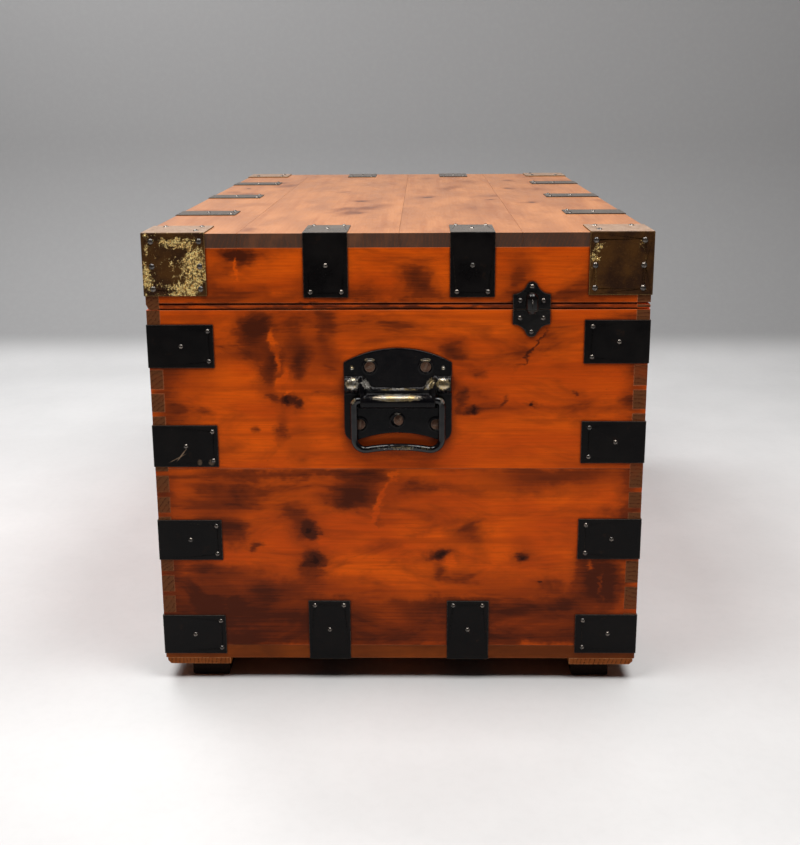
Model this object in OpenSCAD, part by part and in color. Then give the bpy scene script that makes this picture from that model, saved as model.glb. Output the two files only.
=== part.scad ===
// Iron-bound pine chest with a framed lid, drop handles on both ends and an inset lock.
// +Z is up and X runs along the chest. The front is at -Y and the hinges are at +Y.
// The origin is on the floor, under the middle of the chest. All lengths are in millimetres.

/* [Case] */
// Outside length of the boarded case
case_l = 970; // [900:10:1060]
// Outside depth of the boarded case, front to back
case_w = 570; // [550:10:620]
// Height of the boarded case with its lid
case_h = 515; // [510:5:560]
// Height of the lid, from the seam to its top
lid_h = 86; // [84:1:90]
// Thickness of the wall boards and the lid frame
wall_t = 15; // [14:1:18]
// Thickness of the planks on top of the lid
lid_plank_t = 16; // [14:1:18]
// Thickness of the planks of the bottom
bottom_t = 17; // [14:1:20]
// Open gap between the lid and the box
seam_gap = 0.6; // [0.4:0.1:1.2]

/* [Joinery] */
// Height of a dovetail pin on the outer face of the end boards
pin_w = 5.5; // [4:0.5:8]
// Spread of a pin for each millimetre of depth
pin_slope = 0.167; // [0.1:0.001:0.2]
// Depth of the bead and of its quirk on the lid frame
bead_d = 3.2; // [2:0.1:4]
// Height of the bead along the lower edge of the lid frame
bead_h = 6.2; // [5:0.1:7]
// Height of the chamfer along the lower back edge of the lid
chamfer_h = 6; // [3:0.5:8]

/* [Under-frame] */
// Width of the flat battens under the bottom planks
batten_w = 77; // [60:1:90]
// Thickness of the flat battens
batten_t = 8; // [6:1:12]
// Width of the runners that the chest stands on
runner_w = 45; // [36:1:50]
// Height of the runners
runner_h = 20; // [15:1:30]
// Distance from the side of the chest to the outer face of a runner
runner_inset = 30; // [24:1:36]
// Distance from the end of the chest to the end of a runner
runner_end_gap = 12; // [0:1:30]

/* [Strapwork] */
// Width of the iron straps
strap_w = 50; // [40:1:52]
// Thickness of the iron straps
strap_t = 1.2; // [1:0.1:2]
// Length of each leaf of a strap
strap_leaf = 75; // [65:1:80]
// Length of the end leaf of the corner straps at the front, which are a little shorter
front_end_leaf = 73; // [65:1:80]
// Length of the leaf of a lid strap that turns down over the lid frame
lid_strap_leaf = 72; // [60:1:76]
// Length of each leaf of the three-way corner brackets
bracket_leaf = 70; // [60:1:74]
// Thickness of the corner brackets
bracket_t = 1.6; // [1.2:0.1:2.4]

/* [Nails and screws] */
// Diameter of the domed heads of the strap nails
nail_head_d = 5.6; // [4:0.1:7]
// Diameter of the domed heads of the bracket nails
bracket_nail_d = 6.5; // [5:0.1:8]
// Height of the domed nail heads
nail_head_h = 1.7; // [1.2:0.1:2]
// Diameter of the nail shanks
nail_shank_d = 2.2; // [1.8:0.1:2.6]
// Length of the nail shanks under the head
nail_shank_l = 12; // [8:1:12]

/* [Handles] */
// Width of the handle plate
plate_w = 123.6; // [116:0.2:130]
// Thickness of the handle plate
plate_t = 1.6; // [1.2:0.1:2]
// Diameter of the round rod of the bail
bail_d = 8.5; // [7:0.1:8.5]
// Half of the distance between the two arms of the bail
bail_half = 50.5; // [49:0.5:52]
// Height of the pivot of the bail above the underside of the case
bail_pivot_z = 325; // [320:1:330]
// Distance from the pivot down to the lowest part of the bail
bail_drop = 58.7; // [54:0.1:64]

/* [Hinges] */
// Distance from the middle of the chest to the middle of each hinge
hinge_x = 330; // [300:5:340]
// Width of the hinge straps
hinge_w = 50; // [40:1:52]
// Thickness of the hinge straps
hinge_t = 2; // [1.6:0.1:2.4]
// Length of each hinge strap on the inner face of the board
hinge_leaf = 62; // [60:1:64]
// Radius of the hinge knuckles
knuckle_r = 5; // [4.5:0.1:5.2]
// Radius of the hinge pin
hinge_pin_r = 2; // [1.8:0.1:2.2]
// Angle at which the heels of the hinge stop the lid
stop_angle = 106.5; // [106:0.5:108]

/* [Lock] */
// Width of the lock case
lock_w = 76; // [70:1:90]
// Height of the lock case
lock_h = 48; // [44:1:56]
// Depth of the lock case, let into the front board
lock_d = 10.4; // [10:0.1:11]
// Travel of the bolt
bolt_travel = 9; // [8.5:0.1:9.5]

/* [Hidden] */
$fn = 48;

// Heights are measured from the underside of the bottom planks, except where they are lifted by raised()
case_z = runner_h + batten_t;
seam_z = case_h - lid_h;
wall_top = seam_z - seam_gap / 2;
rail_low = seam_z + seam_gap / 2;
rail_top = case_h - lid_plank_t;
half_l = case_l / 2;
half_w = case_w / 2;
over = 1; // how far a cutter runs past the face that it leaves by

// Hand-cut dovetails: heights of the pins at the front and at the back corners
front_pins = [34, 62, 96, 129, 160, 190, 215, 250, 280, 310, 338, 367, 396];
back_pins = [30, 57, 84, 110, 134, 159, 184, 209, 235, 259, 283, 307, 334, 362, 386, 408];
lid_pins = [rail_low + 28, rail_low + 52];
// Heights of the glued joints between the lower and the upper boards
end_joint = 241;
front_joint = 215;
back_joint = 209;

// Heights of the middles of the straps on the upright corners
front_strap_z = [32.5, 154, 273, 391.5];
back_strap_z = [31, 152.5, 268.5, 387];
// Places of the straps across the ends, along Y, and along the sides, along X
lid_end_strap_y = [80.5, -84.5];
bottom_end_strap_y = [84, -82.5];
side_strap_x = [-255, 0, 255];

// Widths of the lid planks from front to back, as shares of the depth
lid_joints = [0, 0.254, 0.496, 0.814, 1];
plank_gap = 0.3;
bottom_planks = 5;

guide_y = -151.5; // middle of the lid guides, near the front
guide_w = 42; // width of the lid guide plates
guide_t = 1.6; // thickness of the lid guide plates
guide_dome_r = 7.4; // outer radius of the socket that the guide pin enters
guide_pin_r = 4.4; // radius of the guide pin

pivot_out = 7.5; // distance from the end board to the pivot of the bail
bail_r = bail_d / 2;
pintle_clear = 0.08; // radial clearance of the bail's pintles in the ridge
knuckle_clear = 0.4; // gap round a hinge knuckle where the other strap passes
hinge_end_gap = 0.3; // gap between neighbouring hinge knuckles

iron = [0.10, 0.10, 0.11];
worn_iron = [0.20, 0.19, 0.18];
aged_brass = [0.42, 0.33, 0.16];
rusty_steel = [0.38, 0.27, 0.20];
pine = [0.72, 0.34, 0.14];
lid_pine = [0.68, 0.36, 0.18];
dull_pine = [0.50, 0.30, 0.16];

// ---- Placing ----

module raised() {
  translate([0, 0, case_z]) children();
}

// Draws the children as they are on the left, or mirrored to the right end
module at_end(right) {
  mirror([right ? 1 : 0, 0, 0]) children();
}

// Face frames: x runs to the viewer's right, y runs up and z points out of the chest
module on_left_end() {
  translate([-half_l, 0, 0]) rotate([90, 0, -90]) children();
}

module on_front() {
  translate([0, -half_w, 0]) rotate([90, 0, 0]) children();
}

// ---- Boards ----

// Wedge that a pin fills, at the front left corner; grow lengthens it for cutting
module pin_wedge(z, grow = 0) {
  wide = pin_w / 2 + wall_t * pin_slope;
  narrow = pin_w / 2 - grow * pin_slope;
  translate([-half_l, wall_t + grow, z])
    rotate([90, 0, 0])
      linear_extrude(wall_t + 2 * grow)
        polygon([[-grow, -narrow], [wall_t, -wide], [wall_t, wide], [-grow, narrow]]);
}

module pin_row(heights, y, low, high, grow = 0) {
  for (z = heights)
    if (z > low && z < high)
      translate([0, y, 0]) pin_wedge(z, grow);
}

// Board across the left end, with its dovetail pins
module end_board(low, high, front, back) {
  translate([-half_l, wall_t - half_w, low]) cube([wall_t, case_w - 2 * wall_t, high - low]);
  pin_row(front, -half_w, low, high);
  pin_row(back, half_w - wall_t, low, high);
}

// Board along a side, whose low y face is at y, with sockets between its tails
module side_board(low, high, y, pins) {
  difference() {
    translate([-half_l, y, low]) cube([case_l, wall_t, high - low]);
    for (right = [false, true])
      at_end(right) pin_row(pins, y, low - pin_w, high + pin_w, over);
  }
}

module lower_end(right) {
  color(pine) raised() at_end(right) end_board(bottom_t, end_joint, front_pins, back_pins);
}

module upper_end(right) {
  color(pine) raised() at_end(right) end_board(end_joint, wall_top, front_pins, back_pins);
}

module front_board_lower() {
  color(pine) raised() side_board(bottom_t, front_joint, -half_w, front_pins);
}

module front_board_upper() {
  color(pine) raised() difference() {
    side_board(front_joint, wall_top, -half_w, front_pins);
    lock_recess();
    keyhole_cutter(wall_t + over);
  }
}

module back_board_lower() {
  color(pine) raised() side_board(bottom_t, back_joint, half_w - wall_t, back_pins);
}

module back_board_upper() {
  color(pine) raised() difference() {
    side_board(back_joint, wall_top, half_w - wall_t, back_pins);
    hinge_recesses();
  }
}

module bottom_plank(number) {
  pitch = case_l / bottom_planks;
  color(dull_pine) raised()
    translate([(number - 1) * pitch - half_l + plank_gap / 2, -half_w, 0])
      cube([pitch - plank_gap, case_w, bottom_t]);
}

// ---- Under-frame ----

// Flat batten under the front edge, housed over the side straps; its outer arris is planed off
module batten() {
  inset = 2;
  planed = 4;
  housing = strap_t + nail_head_h + 0.4;
  difference() {
    translate([-half_l, -half_w, 0]) rotate([90, 0, 90]) linear_extrude(case_l)
      polygon([
        [inset, 0], [inset + batten_w, 0], [inset + batten_w, -batten_t],
        [inset + planed, -batten_t], [inset, planed - batten_t]
      ]);
    for (x = side_strap_x)
      translate([x - strap_w / 2 - 0.4, -half_w, -housing])
        cube([strap_w + 0.8, batten_w + inset + over, housing + over]);
  }
}

module runner() {
  arris = 2;
  translate([runner_end_gap - half_l, runner_inset - half_w, 0])
    rotate([90, 0, 90])
      linear_extrude(case_l - 2 * runner_end_gap)
        polygon([
          [arris, 0], [runner_w - arris, 0], [runner_w, arris],
          [runner_w, runner_h], [0, runner_h], [0, arris]
        ]);
}

module front_batten() {
  color(dull_pine) raised() batten();
}

module back_batten() {
  color(dull_pine) raised() mirror([0, 1, 0]) batten();
}

module front_runner() {
  color(dull_pine) runner();
}

module back_runner() {
  color(dull_pine) mirror([0, 1, 0]) runner();
}

// ---- Lid frame ----

// Outline to cut away so that a half-round bead and a quirk above it are left; wood is at x < 0
module bead_cutter_outline() {
  quirk = 1.2;
  difference() {
    translate([-bead_d, -over]) square([bead_d + over, bead_h + quirk + over]);
    translate([-bead_d, 0]) square([bead_d - bead_h / 2, bead_h]);
    translate([-bead_h / 2, bead_h / 2]) circle(bead_h / 2);
  }
}

// The bead runs along the front and the left end, and stops at the back board's end grain
module left_bead_cutter() {
  translate([-half_l, half_w - wall_t, rail_low])
    rotate([90, 0, 0])
      linear_extrude(case_w - wall_t + over)
        mirror([1, 0]) bead_cutter_outline();
}

module front_bead_cutter() {
  translate([half_l + over, -half_w, rail_low])
    rotate([90, 0, -90])
      linear_extrude(case_l + 2 * over)
        bead_cutter_outline();
}

module bead_cutters() {
  for (right = [false, true])
    at_end(right) left_bead_cutter();
  front_bead_cutter();
}

module back_chamfer_cutter() {
  depth = chamfer_h / 2;
  translate([half_l + over, half_w, rail_low])
    rotate([90, 0, -90])
      linear_extrude(case_l + 2 * over)
        polygon([[depth + over, -over], [-over, -over], [-over, chamfer_h], [0, chamfer_h], [depth, 0]]);
}

module lid_end_rail(right) {
  color(pine) raised() difference() {
    at_end(right) end_board(rail_low, rail_top, lid_pins, lid_pins);
    at_end(right) left_bead_cutter();
  }
}

module lid_front_rail() {
  color(pine) raised() difference() {
    side_board(rail_low, rail_top, -half_w, lid_pins);
    bead_cutters();
    lock_place() link_flange(0.3);
  }
}

module lid_back_rail() {
  color(pine) raised() difference() {
    side_board(rail_low, rail_top, half_w - wall_t, lid_pins);
    back_chamfer_cutter();
    hinge_recesses();
  }
}

module lid_plank(number) {
  y0 = lid_joints[number - 1] * case_w - half_w;
  y1 = lid_joints[number] * case_w - half_w;
  front_gap = number == 1 ? 0 : plank_gap / 2;
  back_gap = number == len(lid_joints) - 1 ? 0 : plank_gap / 2;
  color(lid_pine) raised()
    translate([-half_l, y0 + front_gap, rail_top])
      cube([case_l, y1 - y0 - front_gap - back_gap, lid_plank_t]);
}

// ---- Nails and screws ----

// Stands on the wood at z = 0, over a plate of the given thickness
module nail(head_d, under) {
  dome_r = (head_d * head_d / 4 + nail_head_h * nail_head_h) / (2 * nail_head_h);
  translate([0, 0, under])
    intersection() {
      translate([0, 0, nail_head_h - dome_r]) sphere(dome_r);
      cylinder(d = head_d + 1, h = nail_head_h + 1);
    }
  translate([0, 0, -nail_shank_l]) cylinder(d = nail_shank_d, h = nail_shank_l + under);
}

module screw(head_d, head_h, shank_d, shank_l, under, turn) {
  slot_w = 1.3;
  slot_d = head_h / 2;
  dome_r = head_d * 1.4;
  translate([0, 0, under]) rotate(turn) difference() {
    intersection() {
      translate([0, 0, head_h - dome_r]) sphere(dome_r);
      cylinder(d = head_d, h = head_h + 1);
    }
    translate([-head_d, -slot_w / 2, head_h - slot_d]) cube([2 * head_d, slot_w, head_h]);
  }
  translate([0, 0, -shank_l]) cylinder(d = shank_d, h = shank_l + under);
}

// ---- Straps ----

// Places of the three nails on a leaf: distance from the bend, then distance from the middle line.
// They sit nearer to the bend by setback.
function leaf_nails(leaf, setback = 0) =
  [[leaf / 2 - setback, 0], for (s = [-1, 1]) [leaf - 6 - setback, s * (strap_w / 2 - 7.5)]];

// Puts the children where the nails of both leaves go. The arris lies along y, the wood is at
// x < 0 and z < 0, one leaf lies on top of it and the other hangs down its outer face.
module strap_nail_places(top_leaf, side_leaf, top_setback = 0) {
  for (p = leaf_nails(top_leaf, top_setback))
    translate([-p[0], p[1], 0]) children();
  for (p = leaf_nails(side_leaf))
    rotate([0, 90, 0]) translate([p[0], p[1], 0]) children();
}

module strap(top_leaf, side_leaf, top_setback = 0) {
  difference() {
    rotate([90, 0, 0]) linear_extrude(strap_w, center = true) difference() {
      union() {
        translate([-top_leaf, 0]) square([top_leaf, strap_t]);
        translate([0, -side_leaf]) square([strap_t, side_leaf]);
        circle(strap_t);
      }
      translate([-over - strap_t, -over - strap_t]) square(over + strap_t);
    }
    strap_nail_places(top_leaf, side_leaf, top_setback)
      translate([0, 0, -over]) cylinder(d = nail_shank_d, h = strap_t + 2 * over);
  }
}

// Places of the straps of one upright corner; the straps' top leaf lies on the end of the chest
module corner_places(front, right) {
  for (z = front ? front_strap_z : back_strap_z)
    at_end(right)
      mirror([0, front ? 0 : 1, 0])
        translate([-half_l, -half_w, z]) rotate([90, 0, -90]) children();
}

module bottom_end_places() {
  for (right = [false, true], y = bottom_end_strap_y)
    at_end(right) translate([-half_l, y, 0]) rotate([180, 0, 180]) children();
}

module bottom_side_places() {
  for (back = [0, 1], x = side_strap_x)
    mirror([0, back, 0]) translate([x, -half_w, 0]) rotate([180, 0, -90]) children();
}

module lid_end_places() {
  for (right = [false, true], y = lid_end_strap_y)
    at_end(right) translate([-half_l, y, case_h]) rotate([0, 0, 180]) children();
}

module lid_side_places() {
  for (back = [0, 1], x = side_strap_x)
    mirror([0, back, 0]) translate([x, -half_w, case_h]) rotate([0, 0, -90]) children();
}

function corner_end_leaf(front) = front ? front_end_leaf : strap_leaf;
function corner_setback(front) = front ? 3 : 0;

module corner_straps(front, right) {
  color(iron) raised() corner_places(front, right)
    strap(corner_end_leaf(front), strap_leaf, corner_setback(front));
}

module bottom_straps_ends() {
  color(iron) raised() bottom_end_places() strap(strap_leaf, strap_leaf);
}

module bottom_straps_sides() {
  color(iron) raised() bottom_side_places() strap(strap_leaf, strap_leaf);
}

module lid_straps_ends() {
  color(iron) raised() lid_end_places() strap(strap_leaf, lid_strap_leaf);
}

module lid_straps_sides() {
  color(iron) raised() lid_side_places() strap(strap_leaf, lid_strap_leaf);
}

// ---- Corner brackets ----

bracket_near = 9.5; // distance of the nails from the nearest arris
bracket_far = bracket_leaf - 6.5;
bracket_end_rows = [8.5, 36.5, 62];
bracket_side_rows = [13, 41, 57]; // clear of the shanks of the rows on the end
bracket_top_nails = [[16, 58], [58, 16], [58, 58]];

module bracket_hole_places() {
  // on the top, standing on z = 0
  for (p = bracket_top_nails)
    translate([p[0], p[1], 0]) children();
  // on the end, at x = 0
  for (a = [bracket_near, bracket_far], z = bracket_end_rows)
    translate([0, a, -z]) rotate([0, -90, 0]) children();
  // on the side, at y = 0
  for (a = [bracket_near, bracket_far], z = bracket_side_rows)
    translate([a, 0, -z]) rotate([90, 0, 0]) children();
}

// Three-way bracket on the corner at the origin; the wood is at x > 0, y > 0 and z < 0
module bracket() {
  difference() {
    union() {
      cube([bracket_leaf, bracket_leaf, bracket_t]);
      translate([-bracket_t, 0, -bracket_leaf]) cube([bracket_t, bracket_leaf, bracket_leaf]);
      translate([0, -bracket_t, -bracket_leaf]) cube([bracket_leaf, bracket_t, bracket_leaf]);
      rotate([0, 90, 0]) cylinder(r = bracket_t, h = bracket_leaf);
      rotate([-90, 0, 0]) cylinder(r = bracket_t, h = bracket_leaf);
      translate([0, 0, -bracket_leaf]) cylinder(r = bracket_t, h = bracket_leaf);
      sphere(bracket_t);
    }
    translate([0, 0, -2 * bracket_leaf]) cube(2 * bracket_leaf);
    bracket_hole_places()
      translate([0, 0, -over]) cylinder(d = nail_shank_d, h = bracket_t + 2 * over);
  }
}

module bracket_place(front, right) {
  at_end(right) mirror([0, front ? 0 : 1, 0]) translate([-half_l, -half_w, case_h]) children();
}

module lid_bracket(front, right) {
  color(aged_brass) raised() bracket_place(front, right) bracket();
}

// ---- Lid guides ----

// Outline of a guide plate above the seam: a shield with hollow shoulders and a round tip
module shield() {
  shoulder_r = 16.9;
  difference() {
    translate([-guide_w / 2, 0]) square([guide_w, 26]);
    for (s = [-1, 1])
      translate([s * 21.5, 33.5]) circle(shoulder_r);
  }
  translate([0, 24.6]) circle(6.4);
}

module guide_nail_places() {
  for (p = [[0, 25.5], [13, 9.5], [-13, 9.5]])
    translate(p) children();
}

module guide_plate() {
  difference() {
    linear_extrude(guide_t) shield();
    guide_nail_places()
      translate([0, 0, -over]) cylinder(d = nail_shank_d, h = guide_t + 2 * over);
  }
}

guide_centre = guide_pin_r + 0.2; // distance of the pin's middle line from the end board
guide_seam = 0.4; // gap from the seam's middle to the edge of each guide plate
dome_z = 12; // height of the middle of the dome above the plate's edge

// Socket plate, with its lower edge on y = 0: a domed pocket that is open below
module guide_socket() {
  difference() {
    union() {
      guide_plate();
      intersection() {
        translate([0, 0, guide_centre]) {
          rotate([-90, 0, 0]) cylinder(r = guide_dome_r, h = dome_z);
          translate([0, dome_z, 0]) sphere(guide_dome_r);
        }
        translate([-guide_w / 2, 0, 0]) cube([guide_w, 40, 20]);
      }
    }
    translate([0, -over, guide_centre]) {
      rotate([-90, 0, 0]) cylinder(r = guide_pin_r + 1.2, h = dome_z + over);
      translate([0, dome_z + over, 0]) sphere(guide_pin_r + 1.2);
    }
  }
}

// Pin plate, upside down: its upper edge is on y = 0 and the pin stands beyond it
module guide_pin() {
  rise = 9;
  guide_plate();
  intersection() {
    translate([0, 0, guide_centre]) rotate([-90, 0, 0]) cylinder(r1 = guide_dome_r, r2 = guide_pin_r, h = 4);
    translate([-guide_w / 2, 0, 0]) cube([guide_w, 40, 20]);
  }
  translate([0, -rise, guide_centre]) rotate([-90, 0, 0]) cylinder(r = guide_pin_r, h = rise + over);
  translate([0, -rise, guide_centre]) sphere(guide_pin_r);
}

module guide_upper_place() {
  on_left_end() translate([-guide_y, seam_z + guide_seam, 0]) children();
}

module guide_lower_place() {
  on_left_end() translate([-guide_y, seam_z - guide_seam, 0]) rotate(180) children();
}

module guide_socket_plate(right) {
  color(iron) raised() at_end(right) guide_upper_place() guide_socket();
}

module guide_pin_plate(right) {
  color(iron) raised() at_end(right) guide_lower_place() guide_pin();
}

// ---- Nails, by the part that they hold ----

module box_strap_nails() {
  color(worn_iron) raised() {
    for (front = [false, true], right = [false, true])
      corner_places(front, right)
        strap_nail_places(corner_end_leaf(front), strap_leaf, corner_setback(front))
          nail(nail_head_d, strap_t);
    bottom_end_places() strap_nail_places(strap_leaf, strap_leaf) nail(nail_head_d, strap_t);
    bottom_side_places() strap_nail_places(strap_leaf, strap_leaf) nail(nail_head_d, strap_t);
    for (right = [false, true])
      at_end(right) guide_lower_place() guide_nail_places() nail(nail_head_d, guide_t);
  }
}

module lid_strap_nails() {
  color(worn_iron) raised() {
    lid_end_places() strap_nail_places(strap_leaf, lid_strap_leaf) nail(nail_head_d, strap_t);
    lid_side_places() strap_nail_places(strap_leaf, lid_strap_leaf) nail(nail_head_d, strap_t);
    for (front = [false, true], right = [false, true])
      bracket_place(front, right) bracket_hole_places() nail(bracket_nail_d, bracket_t);
    for (right = [false, true])
      at_end(right) guide_upper_place() guide_nail_places() nail(nail_head_d, guide_t);
  }
}

// ---- Handles ----

plate_top = 384.8; // height of the crown of the plate
plate_shoulder = 368; // height of its upper corners
lobe_z = 288; // height of the middles of its lower lobes
lobe_r = 14;
plate_waist = 285; // height of the lower edge between the lobes
pintle_in = 30; // distance from the middle of the handle to the ends of the pintles
dimple_d = 0.5; // depth of the seats of the screws
screw_places = [[-32, 363, 20], [32, 363, 65], [-44, 295, 80], [44, 295, 10], [1, 300, 45]];

module plate_outline() {
  rise = plate_top - plate_shoulder;
  half = plate_w / 2;
  crown_r = (half * half + rise * rise) / (2 * rise);
  hollow_r = 127;
  difference() {
    intersection() {
      union() {
        translate([-half, lobe_z]) square([plate_w, plate_top - lobe_z]);
        translate([lobe_r - half, lobe_z - lobe_r]) square([plate_w - 2 * lobe_r, lobe_r + over]);
        for (s = [-1, 1])
          translate([s * (half - lobe_r), lobe_z]) circle(lobe_r);
      }
      translate([0, plate_top - crown_r]) circle(crown_r, $fn = 180);
    }
    translate([0, plate_waist - hollow_r]) circle(hollow_r, $fn = 180);
  }
}

// Part of a round bar that stands out of the plate, lying along x, its middle at the origin
module swelling(length, height, out) {
  half = height / 2;
  r = (half * half + out * out) / (2 * out);
  intersection() {
    translate([-length / 2, 0, out - r]) rotate([0, 90, 0]) cylinder(r = r, h = length);
    translate([-length, -height, 0]) cube([2 * length, 2 * height, out + over]);
  }
}

// Pressed plate: a ridge that holds the pintles, and a hood above each arm of the bail
module handle_plate() {
  dimple_r = 7.4;
  difference() {
    union() {
      linear_extrude(plate_t) plate_outline();
      translate([0, bail_pivot_z + 1.5, plate_t]) swelling(88, 23, 11.8);
      for (s = [-1, 1])
        translate([s * 50, bail_pivot_z + 17, plate_t]) swelling(24, 20.5, 7);
    }
    translate([-plate_w / 2, bail_pivot_z, pivot_out])
      rotate([0, 90, 0]) cylinder(r = bail_r + pintle_clear, h = plate_w);
    for (p = screw_places) {
      translate([p[0], p[1], plate_t - dimple_d]) cylinder(r = dimple_r, h = 20);
      translate([p[0], p[1], -over]) cylinder(d = 4.4, h = 4);
    }
  }
}

// Middle line of one half of the bail, from the end of its pintle to the middle of its bottom bar.
// Each point is [x, y, direction of travel].
function bail_path() =
  let (
    top_r = 6,
    corner_r = 13,
    bow = 10, // slope of the bottom bar where it meets the corners
    bar_half = bail_half - corner_r * (1 + sin(bow)),
    bar_r = bar_half / sin(bow),
    corner_y = corner_r - bail_drop,
    bar_y = corner_y - corner_r * cos(bow) - bar_r * cos(bow)
  )
  concat(
    [[pintle_in, 0, 0]],
    [for (a = [0 : 22.5 : 90]) [bail_half - top_r + top_r * sin(a), top_r * cos(a) - top_r, -a]],
    [for (a = [0 : 20 : 90 + bow])
      [bail_half - corner_r + corner_r * cos(a), corner_y - corner_r * sin(a), -90 - a]],
    [for (a = [bow - 2.5 : -2.5 : 0]) [bar_r * sin(a), bar_y + bar_r * cos(a), 180 - a]]
  );

function mirrored_path(half) =
  concat(half, [for (i = [len(half) - 2 : -1 : 0]) [-half[i][0], half[i][1], -half[i][2]]]);

// One ring of the rod, square to its middle line
function rod_ring(p, sides) =
  [for (i = [0 : sides - 1])
    let (a = 360 * i / sides, side = bail_r * cos(a))
    [p[0] - side * sin(p[2]), p[1] + side * cos(p[2]), bail_r * sin(a)]];

// The bail hangs from its pintles, which turn in towards each other at the top
module bail() {
  sides = 16;
  path = mirrored_path(bail_path());
  last = len(path) - 1;
  polyhedron(
    points = [for (p = path) each rod_ring(p, sides)],
    faces = concat(
      [[for (i = [0 : sides - 1]) i]],
      [[for (i = [sides - 1 : -1 : 0]) last * sides + i]],
      [for (k = [0 : last - 1], i = [0 : sides - 1])
        let (j = (i + 1) % sides)
        [k * sides + i, (k + 1) * sides + i, (k + 1) * sides + j, k * sides + j]]
    )
  );
}

module end_handle_plate(right) {
  color(iron) raised() at_end(right) on_left_end() handle_plate();
}

module handle_bail(right) {
  color(iron) raised() at_end(right) on_left_end() translate([0, bail_pivot_z, pivot_out]) bail();
}

module handle_screws() {
  color(rusty_steel) raised()
    for (right = [false, true], p = screw_places)
      at_end(right) on_left_end() translate([p[0], p[1], 0])
        screw(12, 1.4, 4.2, 12, plate_t - dimple_d, p[2]);
}

// ---- Hinges ----

// Section across a hinge, with the pin at the origin, the chest at x < 0 and up at y > 0.
// The strap runs in through the seam, down the inner face, and has a heel outside as a stop.
module hinge_section(with_knuckle) {
  heel_l = 10.5;
  heel_t = 2.4;
  difference() {
    union() {
      translate([-wall_t - hinge_t, -seam_gap / 2 - hinge_t]) square([wall_t + hinge_t, hinge_t]);
      rotate(-stop_angle / 2) translate([0, -heel_t]) square([heel_l, heel_t]);
      if (with_knuckle) circle(knuckle_r);
    }
    if (!with_knuckle) circle(knuckle_r + knuckle_clear);
  }
  translate([-wall_t - hinge_t, -hinge_leaf - seam_gap / 2]) square([hinge_t, hinge_leaf]);
}

// Fifths of the hinge's width, of which this strap has the knuckles numbered in own
module hinge_strap_body(own) {
  part = hinge_w / 5;
  difference() {
    for (i = [0 : 4]) {
      has = len(search(i, own)) > 0;
      gap = has ? hinge_end_gap / 2 : -hinge_end_gap / 2;
      translate([0, 0, i * part - hinge_w / 2 + (i == 0 ? 0 : gap)])
        linear_extrude(part - (i == 0 ? 0 : gap) - (i == 4 ? 0 : gap)) hinge_section(has);
    }
    translate([0, 0, -hinge_w]) cylinder(r = hinge_pin_r + 0.05, h = 2 * hinge_w);
    hinge_screw_places() translate([0, 0, -hinge_t - over]) cylinder(d = 4.4, h = hinge_t + 2 * over);
  }
}

// Screw places on the inner face of the strap, pointing into the chest
module hinge_screw_places() {
  for (p = [[16, 0], [34, 13], [34, -13], [52, 0]])
    translate([-wall_t - hinge_t, -p[0], p[1]]) rotate([0, -90, 0]) children();
}

// From the section's frame to the back of the chest
module at_hinge(x) {
  translate([x, half_w, seam_z]) rotate([90, 0, 90]) children();
}

module hinge_box_strap(x) {
  color(iron) raised() at_hinge(x) hinge_strap_body([0, 2, 4]);
}

module hinge_lid_strap(x) {
  color(iron) raised() at_hinge(x) mirror([0, 1, 0]) hinge_strap_body([1, 3]);
}

// Room in both boards for the knuckles and for the thickness of the straps
module hinge_recesses() {
  for (x = [-hinge_x, hinge_x]) at_hinge(x) {
    translate([0, 0, -hinge_w / 2 - 1]) cylinder(r = knuckle_r + 0.8, h = hinge_w + 2);
    translate([-wall_t - over, -seam_gap / 2 - hinge_t, -hinge_w / 2 - 0.2])
      cube([wall_t + 2 * over, seam_gap + 2 * hinge_t, hinge_w + 0.4]);
  }
}

module hinge_pins() {
  color(worn_iron) raised()
    for (x = [-hinge_x, hinge_x])
      at_hinge(x) translate([0, 0, -hinge_w / 2]) cylinder(r = hinge_pin_r, h = hinge_w);
}

module hinge_screws(on_lid) {
  for (x = [-hinge_x, hinge_x])
    at_hinge(x) mirror([0, on_lid ? 1 : 0, 0]) hinge_screw_places()
      translate([0, 0, -hinge_t]) screw(8, 1.4, 4.2, 11, hinge_t, 30);
}

module box_hinge_screws() {
  color(rusty_steel) raised() hinge_screws(false);
}

// The screws of the lid's hinge straps and of the link plate of the lock
module lid_screws() {
  color(rusty_steel) raised() {
    hinge_screws(true);
    lock_place() link_screw_places() screw(6, 1.1, 3, 12, link_t, 40);
  }
}

// ---- Lock ----

lock_wall = 1.6; // thickness of the walls of the lock case
staple_x = 8; // middle of the staple of the link plate
staple_w = 3; // thickness of the staple along the bolt
staple_d = 6; // thickness of the staple across the bolt
staple_drop = 16; // how far the staple hangs into the lock
bolt_z = -10; // height of the bolt's middle, from the seam
bolt_h = 6;
bolt_d = 3.2;
key_z = -28; // height of the keyhole, from the seam
lock_middle = -lock_d / 2; // middle of the space inside the case, from the inner face of the board
link_t = 2; // thickness of the link plate

module keyhole_outline() {
  translate([0, seam_z + key_z]) {
    circle(1.9);
    translate([-1, -9]) square([2, 9]);
  }
}

// Goes in from the front face of the board to the given depth
module keyhole_cutter(depth) {
  on_front() translate([0, 0, -depth]) linear_extrude(depth + over) keyhole_outline();
}

// Frame for the lock: y = 0 on the inner face of the front board, z = 0 at the seam
module lock_place() {
  translate([0, wall_t - half_w, seam_z]) children();
}

module lock_recess() {
  lock_place() translate([-lock_w / 2, -lock_d, -lock_h]) cube([lock_w, lock_d + over, lock_h + over]);
}

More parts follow.
